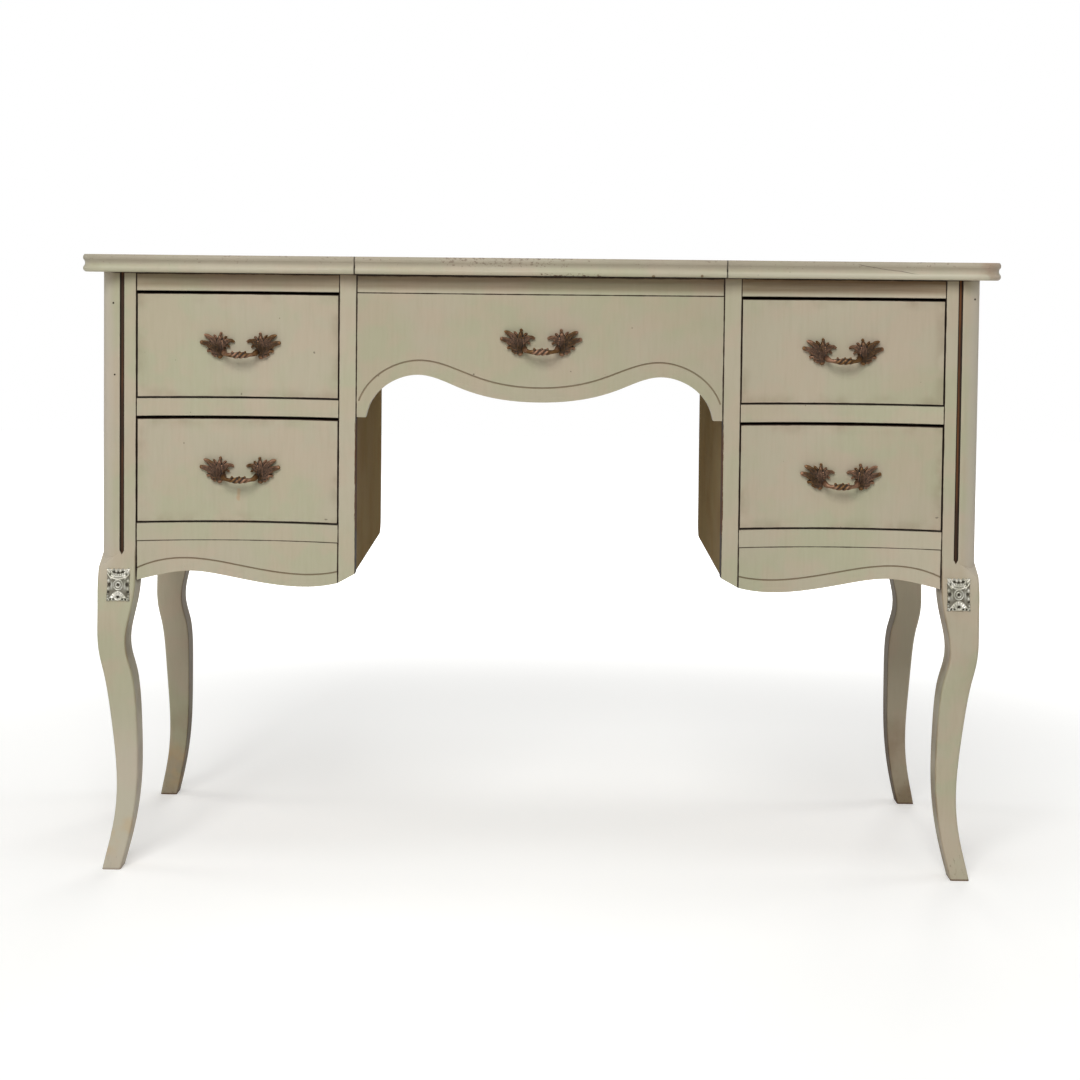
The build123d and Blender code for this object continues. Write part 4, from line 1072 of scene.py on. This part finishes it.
# %% The bar
BAR_ROWS, BAR_COLUMNS = 200, 40
BAR_HALF, BAR_OUT, BAR_DROP = 20.6, 16.0, 4.0      # millimetres across, out and down
BAR_START = (3.0, -7.2)                            # its roots: out of the wall, up
BAR_SQUARE = 0.55                                  # 1 is an ellipse, 0 a rectangle
BAR_RADIUS, WRAP_RADIUS, WRAP_HALF = 2.3, 1.7, 10.5
TWIST, STRANDS = 0.30, 3
FLARE, FLARE_REACH = 1.3, 3.0
TUFTS = ((-6.6, -1.1), (0.0, 0.6), (6.0, 1.2))     # where a leaf springs from the wrap, and how it leans
SKIRTS = ((-3.6, 0.9), (3.8, -0.8))


def bar():
    """Tube along (half * cos^0.55, out * sin^0.55, -drop * sin) of an angle, thick and twisted in its middle.

    Radius = bar + flare at each root + wrap * exp(-(x / half wrap)^4) * (0.8 + 0.36 cos(strands * turn)),
    where turn is the angle round the tube less the twist so far.
    """
    angle = np.linspace(0, np.pi, BAR_ROWS)
    cosine, sine = np.cos(angle), np.sin(angle)
    place = np.stack([BAR_HALF * np.sign(cosine) * abs(cosine) ** BAR_SQUARE,
                      BAR_START[0] + BAR_OUT * sine ** BAR_SQUARE, BAR_START[1] - BAR_DROP * sine], axis=1)
    ahead = unit(np.gradient(place, axis=0))
    sideways = unit(np.cross(ahead, (0.0, 0.0, 1.0)))
    upwards = np.cross(sideways, ahead)
    x = place[:, :1]
    a = np.linspace(0, 2 * np.pi, BAR_COLUMNS, endpoint=False)[None, :]
    wrap = np.exp(-(x / WRAP_HALF) ** 4)
    flare = FLARE * np.exp(-((abs(x) - BAR_HALF) / FLARE_REACH) ** 2)
    turn = a - TWIST * x
    radius = BAR_RADIUS + flare + wrap * WRAP_RADIUS * (0.8 + 0.36 * np.cos(STRANDS * turn))
    radius = radius * np.where((angle <= 0) | (angle >= np.pi), 0.0, 1.0)[:, None]
    ring = sideways[:, None, :] * np.cos(a)[..., None] + upwards[:, None, :] * np.sin(a)[..., None]
    return (place[:, None, :] + ring * radius[..., None]).reshape(-1, 3)


tube = bar()
tufts = [leaf((x, 18.4, -10.8), (x + lean, 20.5, -8.6), (x + 2.2 * lean, 18.6, -5.9), 2.1, 1.3, 1, 1)
         for x, lean in TUFTS]
tufts += [leaf((x, 18.6, -11.4), (x + lean, 20.0, -13.0), (x + 2.0 * lean, 18.6, -14.9), 2.0, 1.2, 1, 1)
          for x, lean in SKIRTS]
print("bar reaches", round(float(tube[:, 1].max()), 1), "mm from the wall")

# %% [markdown]
# Numpy works on a mesh's points as one array, so a few helpers carry points and edges over and back. One of
# them stores a number from 0 to 1 on each point, which the finish can read.

# %% Points of a mesh


def edges_of(mesh):
    edges = np.empty(len(mesh.edges) * 2, dtype=np.int32)
    mesh.edges.foreach_get("vertices", edges)
    return edges.reshape(-1, 2)


def points_of(mesh):
    points = np.empty(len(mesh.vertices) * 3)
    mesh.vertices.foreach_get("co", points)
    return points.reshape(-1, 3)


def set_points(mesh, points):
    mesh.vertices.foreach_set("co", np.ascontiguousarray(points, dtype=np.float32).ravel())
    mesh.update()


def store_relief(mesh, values):
    layer = mesh.attributes.new("relief", "FLOAT", "POINT")
    layer.data.foreach_set("value", np.clip(values, 0, 1).astype(np.float32))


def smooth(mesh):
    """Shade the faces of a mesh as one rounded surface."""
    mesh.polygons.foreach_set("use_smooth", np.ones(len(mesh.polygons), dtype=bool))


print("points are carried as arrays")

# %% [markdown]
# All shapes are closed and overlap, like wax pressed together before a casting. A voxel remesh fuses them
# into one skin, and a round of averaging with the neighbours takes off its steps. Averaged many times more,
# the skin becomes a smooth ghost of itself: how far a point stands proud of that ghost is its relief, which
# later tells the finish where fingers polish the metal and where dirt stays.

# %% Fuse, smooth and measure the relief
VOXEL = 0.34                                       # millimetres
SMOOTH_PASSES, GHOST_PASSES, RELIEF_DEPTH = 1, 44, 0.56


def neighbours_mean(points, edges):
    """Mean of each point's neighbours, from the mesh's edges."""
    count = np.bincount(edges.ravel(), minlength=len(points))[:, None]
    total = np.stack([np.bincount(edges.ravel(), weights=points[edges[:, ::-1].ravel()][:, axis],
                                  minlength=len(points)) for axis in range(3)], axis=1)
    return total / np.maximum(count, 1)


def keep_relief(mesh, depth, passes):
    """Store how far each point stands proud of the smoothed skin: 0.5 is level, 1 is depth proud."""
    points, edges = points_of(mesh), edges_of(mesh)
    ghost = points
    for _ in range(passes):
        ghost = (ghost + neighbours_mean(ghost, edges)) / 2
    normals = np.empty(len(points) * 3)
    mesh.vertex_normals.foreach_get("vector", normals)
    proud = ((points - ghost) * normals.reshape(-1, 3)).sum(axis=1)
    store_relief(mesh, 0.5 + 0.5 * proud / depth)
    return proud


def fused(name, shapes, voxel):
    """One closed mesh from overlapping grids, in the shapes' own units."""
    points, faces, first = [], [], 0
    for shape, columns in shapes:
        points.append(shape)
        faces.append(quads(len(shape) // columns, columns) + first)
        first += len(shape)
    rough = grid_mesh(name, np.concatenate(points), np.concatenate(faces))
    remesh = rough.modifiers.new("fuse", "REMESH")
    remesh.mode, remesh.voxel_size = "VOXEL", voxel
    view = bpy.context.evaluated_depsgraph_get()
    mesh = bpy.data.meshes.new_from_object(rough.evaluated_get(view))
    bpy.data.objects.remove(rough)
    return mesh


mirror_x = np.array((-1.0, 1.0, 1.0))
shapes = [(tube, BAR_COLUMNS)]
shapes += [(shape, LEAF_COLUMNS) for shape in tufts + cluster + [shape * mirror_x for shape in cluster]]
pull_mesh = fused("pull_wax", shapes, VOXEL)
skin, skin_edges = points_of(pull_mesh), edges_of(pull_mesh)
for _ in range(SMOOTH_PASSES):
    skin = (skin + neighbours_mean(skin, skin_edges)) / 2
skin[:, 1] = np.maximum(skin[:, 1], 0.0)           # flat where it meets the wall
set_points(pull_mesh, skin)
proud = keep_relief(pull_mesh, RELIEF_DEPTH, GHOST_PASSES)
smooth(pull_mesh)
print("pull:", len(pull_mesh.polygons), "faces, relief", proud.min().round(2), "to", proud.max().round(2))

# %% [markdown]
# The same casting is used five times. Each copy is bent to its own front: every point keeps its distance from
# the wall, and the wall is the front's own arc, so the leaves hug a hollow drawer and a swelling panel alike.

# %% Seat the five pulls
NARROW, SLIP = 0.975, 1.4 * MM                     # as cast, and as screwed on by hand


def bow_line(x):
    """Y of the centre's swelling front."""
    return bow_centre_y - np.sqrt(bow_radius**2 - x**2)


def hollow_line(x):
    """Y of a pedestal's hollow front."""
    return hollow_centre_y + np.sqrt(hollow_radius**2 - (abs(x) - bay_middle) ** 2)


def seat(name, node, body, front):
    """A copy of the casting on one front, in place of its plain node."""
    first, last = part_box(node)
    cluster_top = max(shape[:, 2].max() for shape in cluster) * MM
    cluster_bottom = min(shape[:, 2].min() for shape in cluster) * MM
    mesh = pull_mesh.copy()
    points = skin * MM
    x = points[:, 0] * NARROW + (first.x + last.x) / 2 + SLIP
    z = points[:, 2] + (first.z + last.z - cluster_top - cluster_bottom) / 2
    set_points(mesh, np.stack([x, front(x) - points[:, 1], z], axis=1))
    mesh.name = name
    piece = bpy.data.objects.new(name, mesh)
    bpy.context.scene.collection.objects.link(piece)
    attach(piece, body)
    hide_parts(node)
    print(name, "centre", round(float(x.mean()), 4), "height", round(float(z.mean()), 4))
    return piece


castings = [seat("casting_centre", "pull_centre", "case", bow_line)]
castings += [seat(f"casting_{level}_{side}", f"pull_{level}_{side}", f"drawer_{level}_{side}", hollow_line)
             for level in LEVELS for side in SIDES]

# %% [markdown]
# A rosette of bright cast metal covers the top of each front knee. It is a relief on a four-cornered plate
# with hollow sides: a boss in two rings, a ribbed shell above, a fan below, and a leaf in each upper corner.
# A relief is a height above a plate, so here it is one function of place, put together from bells along
# lines, smooth steps and hollows. All of it is in millimetres from the rosette's middle.

# %% The rosette's relief
PITS = ((10.7, 0.3), (5.3, 15.2), (0.0, 14.6), (9.8, 13.0), (5.4, -17.6), (9.4, -18.0), (12.8, -9.2))
DEEPEST = -0.6


def ridge(distance, width):
    """1 on a line, fading as a bell to both sides."""
    return np.exp(-(distance / width) ** 2)


def step(value, start, end):
    """0 below start, 1 above end, smooth between."""
    share = np.clip((value - start) / (end - start), 0, 1)
    return share * share * (3 - 2 * share)


def dimple(x, z, place, radii):
    """1 in the middle of an oval hollow, fading as a bell."""
    return np.exp(-((x - place[0]) / radii[0]) ** 2 - ((z - place[1]) / radii[1]) ** 2)


def upper_shell(x, z):
    """Shell over the boss: a sagging double rim at z = 7 + 0.03 x^2, ribs above it and a tip over each."""
    above = z - 7.0 - 0.030 * x**2
    rims = 1.9 * ridge(above, 1.0) + 1.3 * ridge(above - 2.9, 0.9)
    ribs = (1.1 + 0.6 * np.cos(2 * np.pi * x / 2.7)) * step(above, 3.0, 4.4) * step(above, 7.6, 6.0)
    tips = (1.2 + 0.8 * np.cos(2 * np.pi * (x - 2.6) / 5.2)) * step(above, 7.4, 9.0)
    return (np.maximum(rims, ribs) + tips) * step(abs(x), 12.8, 11.0)


def lower_fan(x, z):
    """Fan under the boss: an arched rim at z = -6.6 - 0.075 x^2 and fine ribs that spread from its foot."""
    below = -6.6 - 0.075 * x**2 - z
    turn = np.arctan2(x, z + 18.5)
    rim = 2.0 * ridge(below - 1.4, 0.9) - 0.9 * ridge(below, 0.6)
    ribs = (1.35 + 0.3 * np.cos(16 * turn)) * step(below, 1.6, 2.4)
    return np.maximum(rim, ribs) * step(abs(x), 12.6, 11.4)


def corner_leaf(x, z):
    """Leaf that points to an upper corner: along and across are turned axes, with two veins."""
    along = (x - 6.5) * 0.60 + (z - 9.0) * 0.80
    across = -(x - 6.5) * 0.80 + (z - 9.0) * 0.60
    body = step(along, -2.5, 1.0) * step(abs(across), 4.0, 2.6)
    return body * (1.3 + 0.5 * np.cos(2.0 * across) + 0.3 * np.cos(1.2 * along))


def relief_form(x, z):
    """What is cast on the rosette: the highest of its forms, less its hollows."""
    ax, r = abs(x), np.hypot(x, z * 0.92)
    boss = (1.3 * ridge(r - 2.7, 0.9) + 1.2 * ridge(r - 5.5, 0.8)) * step(r, 6.9, 6.2)
    beads = 1.6 * dimple(ax, abs(z), (12.2, 4.8), (1.5, 1.7)) + 0.7 * dimple(ax, z, (8.2, -1.0), (1.6, 4.6))
    chain = 1.5 * ridge(ax - 12.9, 1.0) * (0.5 + 0.5 * np.cos(2 * np.pi * z / 3.4)) * step(z, -6.5, -8.5)
    form = np.maximum.reduce([boss, upper_shell(x, z), lower_fan(x, z), corner_leaf(ax, z), beads + chain])
    hollows = 1.4 * dimple(x, z, (0.0, 0.0), (1.3, 1.3)) + 3.4 * dimple(x, z, (0.0, -14.8), (1.8, 1.4))
    for place in PITS:
        hollows = hollows + 2.4 * dimple(ax, z, place, (1.2, 1.4))
    return np.maximum(form - hollows, DEEPEST)


print("pits on the rosette:", 2 * len(PITS) - 1)

# %% [markdown]
# The plate under the relief is a gentle pillow. Its outline is a rectangle whose sides are drawn in towards
# the middle, with small scallops, given as a distance for each angle. A polar grid fits it.

# %% The rosette's plate
ROSETTE_HALF = (14.6, 20.3)                        # across and up
ROSETTE_RINGS, ROSETTE_SPOKES = 110, 300
WAIST, WAIST_FLAT = 0.05, 0.55                     # how far the sides are drawn in, and top and bottom's part
SCALLOPS, SCALLOP_DEPTH = 22, 0.03


def rosette_height(x, z):
    """Height of the relief above the knee: the cast forms on a gentle pillow."""
    pillow = np.clip(1 - (x / 17) ** 2, 0, 1) * np.clip(1 - (z / 26) ** 2, 0, 1)
    return 0.7 + 0.9 * pillow + relief_form(x, z)


def rosette_edge(angle):
    """Distance to the outline: a rectangle whose four sides are drawn in, with small scallops."""
    cosine, sine = abs(np.cos(angle)), abs(np.sin(angle))
    straight = 1 / np.maximum(cosine / ROSETTE_HALF[0], sine / ROSETTE_HALF[1])
    turn, corner = np.arctan2(sine, cosine), math.atan2(ROSETTE_HALF[1], ROSETTE_HALF[0])
    upright = turn < corner
    share = np.where(upright, turn / corner, (np.pi / 2 - turn) / (np.pi / 2 - corner))
    drawn_in = 1 - WAIST * (1 - share**2) * np.where(upright, 1.0, WAIST_FLAT)
    return straight * drawn_in * (1 - SCALLOP_DEPTH * (0.5 + 0.5 * np.cos(SCALLOPS * angle)))


print("rosette height in its middle", round(float(rosette_height(np.zeros(1), np.zeros(1))[0]), 2), "mm")

# %% [markdown]
# The knee below is curved, so its profile is measured by looking back at the leg at a row of heights. Each
# ring of the grid is laid on that profile and raised by the relief, and a back is sunk a little into the
# wood, so the rosette is closed. Both rosettes are one piece, as they are one node of the frame.

# %% Lay the rosettes on the knees
rosette_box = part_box("knee_rosettes")
ROSETTE_X = rosette_box[1].x - ROSETTE_HALF[0] * MM
ROSETTE_Z = (rosette_box[0].z + rosette_box[1].z) / 2
RELIEF_RANGE = (DEEPEST, 2.0)                      # millimetres, from dull hollow to bright ridge
KNEE_HEIGHTS, KNEE_REACH = 25, 1.2                 # how many are measured, and how far past the rosette
SUNK = 0.5 * MM


def knee_line(leg, x, heights):
    """Y of the leg's front face at some heights, by looking straight back at it."""
    return np.array([leg.ray_cast(Vector((x, front_y - 0.2, z)), Vector((0, 1, 0)))[1].y for z in heights])


def lay_rosette(side):
    """Points of one rosette: polar grid, height above the knee, and a flat back sunk into it."""
    middle_x = ROSETTE_X if side == "right" else -ROSETTE_X
    reach = ROSETTE_HALF[1] * MM * KNEE_REACH
    heights = np.linspace(ROSETTE_Z - reach, ROSETTE_Z + reach, KNEE_HEIGHTS)
    profile = knee_line(nodes[f"leg_front_{side}"], middle_x, heights)
    share = np.linspace(0, 1, ROSETTE_RINGS)[:, None]
    angle = np.linspace(0, 2 * np.pi, ROSETTE_SPOKES, endpoint=False)[None, :]
    out = share * rosette_edge(angle)
    x, z = out * np.cos(angle), out * np.sin(angle)
    proud = rosette_height(x, z) * step(share, 1.0, 0.965) + 0.15
    across, up = middle_x + x * MM, ROSETTE_Z + z * MM
    face = np.stack([across, np.interp(up, heights, profile) - proud * MM, up], axis=-1)
    back = face[::-1][::ROSETTE_RINGS // 10].copy()
    back[..., 1] = np.interp(back[..., 2], heights, profile) + SUNK
    return np.concatenate([face, back]).reshape(-1, 3)


def keep_height(mesh):
    """Store the height of the cast forms at each point, from 0 in a hollow to 1 on a ridge."""
    points = points_of(mesh) / MM
    across = np.sign(points[:, 0]) * (abs(points[:, 0]) - ROSETTE_X / MM)
    height = relief_form(across, points[:, 2] - ROSETTE_Z / MM)
    store_relief(mesh, step(height, *RELIEF_RANGE))
    return height


rosette_parts = [lay_rosette(side) for side in SIDES]
rosette_faces = [quads(len(part) // ROSETTE_SPOKES, ROSETTE_SPOKES) for part in rosette_parts]
rosettes = grid_mesh("rosettes", np.concatenate(rosette_parts),
                     np.concatenate([rosette_faces[0], rosette_faces[1] + len(rosette_parts[0])]))
tidy = bmesh.new()
tidy.from_mesh(rosettes.data)
bmesh.ops.remove_doubles(tidy, verts=tidy.verts, dist=0.004 * MM)
bmesh.ops.recalc_face_normals(tidy, faces=tidy.faces)
tidy.to_mesh(rosettes.data)
tidy.free()
smooth(rosettes.data)
heights_kept = keep_height(rosettes.data)
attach(rosettes, "case")
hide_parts("knee_rosettes")
print("rosettes:", len(rosettes.data.polygons), "faces, relief", heights_kept.min().round(2), "to",
      heights_kept.max().round(2), "mm")

# %% [markdown]
# Both castings were dipped dark and then rubbed. Relief decides the rest: what stands proud is bright metal,
# red copper on the pulls and silver on the rosettes, and the hollows keep a dull, nearly black patina.

# %% Cast metal finishes


def cast_metal(name, stops, patina, dull=0.66, polish=0.44):
    """Antiqued casting: colour, metal and gloss all follow the relief, under clouds of patina."""
    f = Finish(name)
    relief = f.output("Fac", "ShaderNodeAttribute", {"attribute_name": "relief"})
    cloudy = relief + (f.noise(260.0, detail=3.0) - 0.5) * 0.22
    colour = f.add("ShaderNodeValToRGB", {"stops": stops}, (cloudy,))
    colour = f.mix(f.noise(55.0, detail=3.0).rise(0.44, 0.56) * 0.8, colour, patina, "MULTIPLY")
    bright = cloudy.rise(0.34, 0.70)
    return f.principled(Base_Color=colour, Metallic=bright * 0.7 + 0.15,
                        Roughness=dull - bright * (dull - polish),
                        Normal=f.bump(f.noise(900.0, detail=3.0), 0.03 * MM))


COPPER = ((0.34, paint(30, 22, 12)), (0.46, paint(62, 45, 31)), (0.56, paint(104, 76, 56)),
          (0.68, paint(140, 106, 84)), (0.88, paint(168, 130, 106)))
OLIVE = paint(186, 176, 112)
SILVER = ((0.00, paint(52, 46, 34)), (0.10, paint(104, 98, 82)), (0.32, paint(162, 160, 148)),
          (0.70, paint(204, 202, 192)), (0.95, paint(226, 222, 210)))
PEWTER = paint(222, 222, 214)
copper = cast_metal("antique_copper", COPPER, OLIVE)
silver = cast_metal("antique_silver", SILVER, PEWTER)
for casting in castings:
    casting.data.materials.clear()
    casting.data.materials.append(copper)
rosettes.data.materials.clear()
rosettes.data.materials.append(silver)
print("cast metal on", len(castings) + 1, "pieces")

# %% [markdown]
# The finished table should fill the same space as its construction.
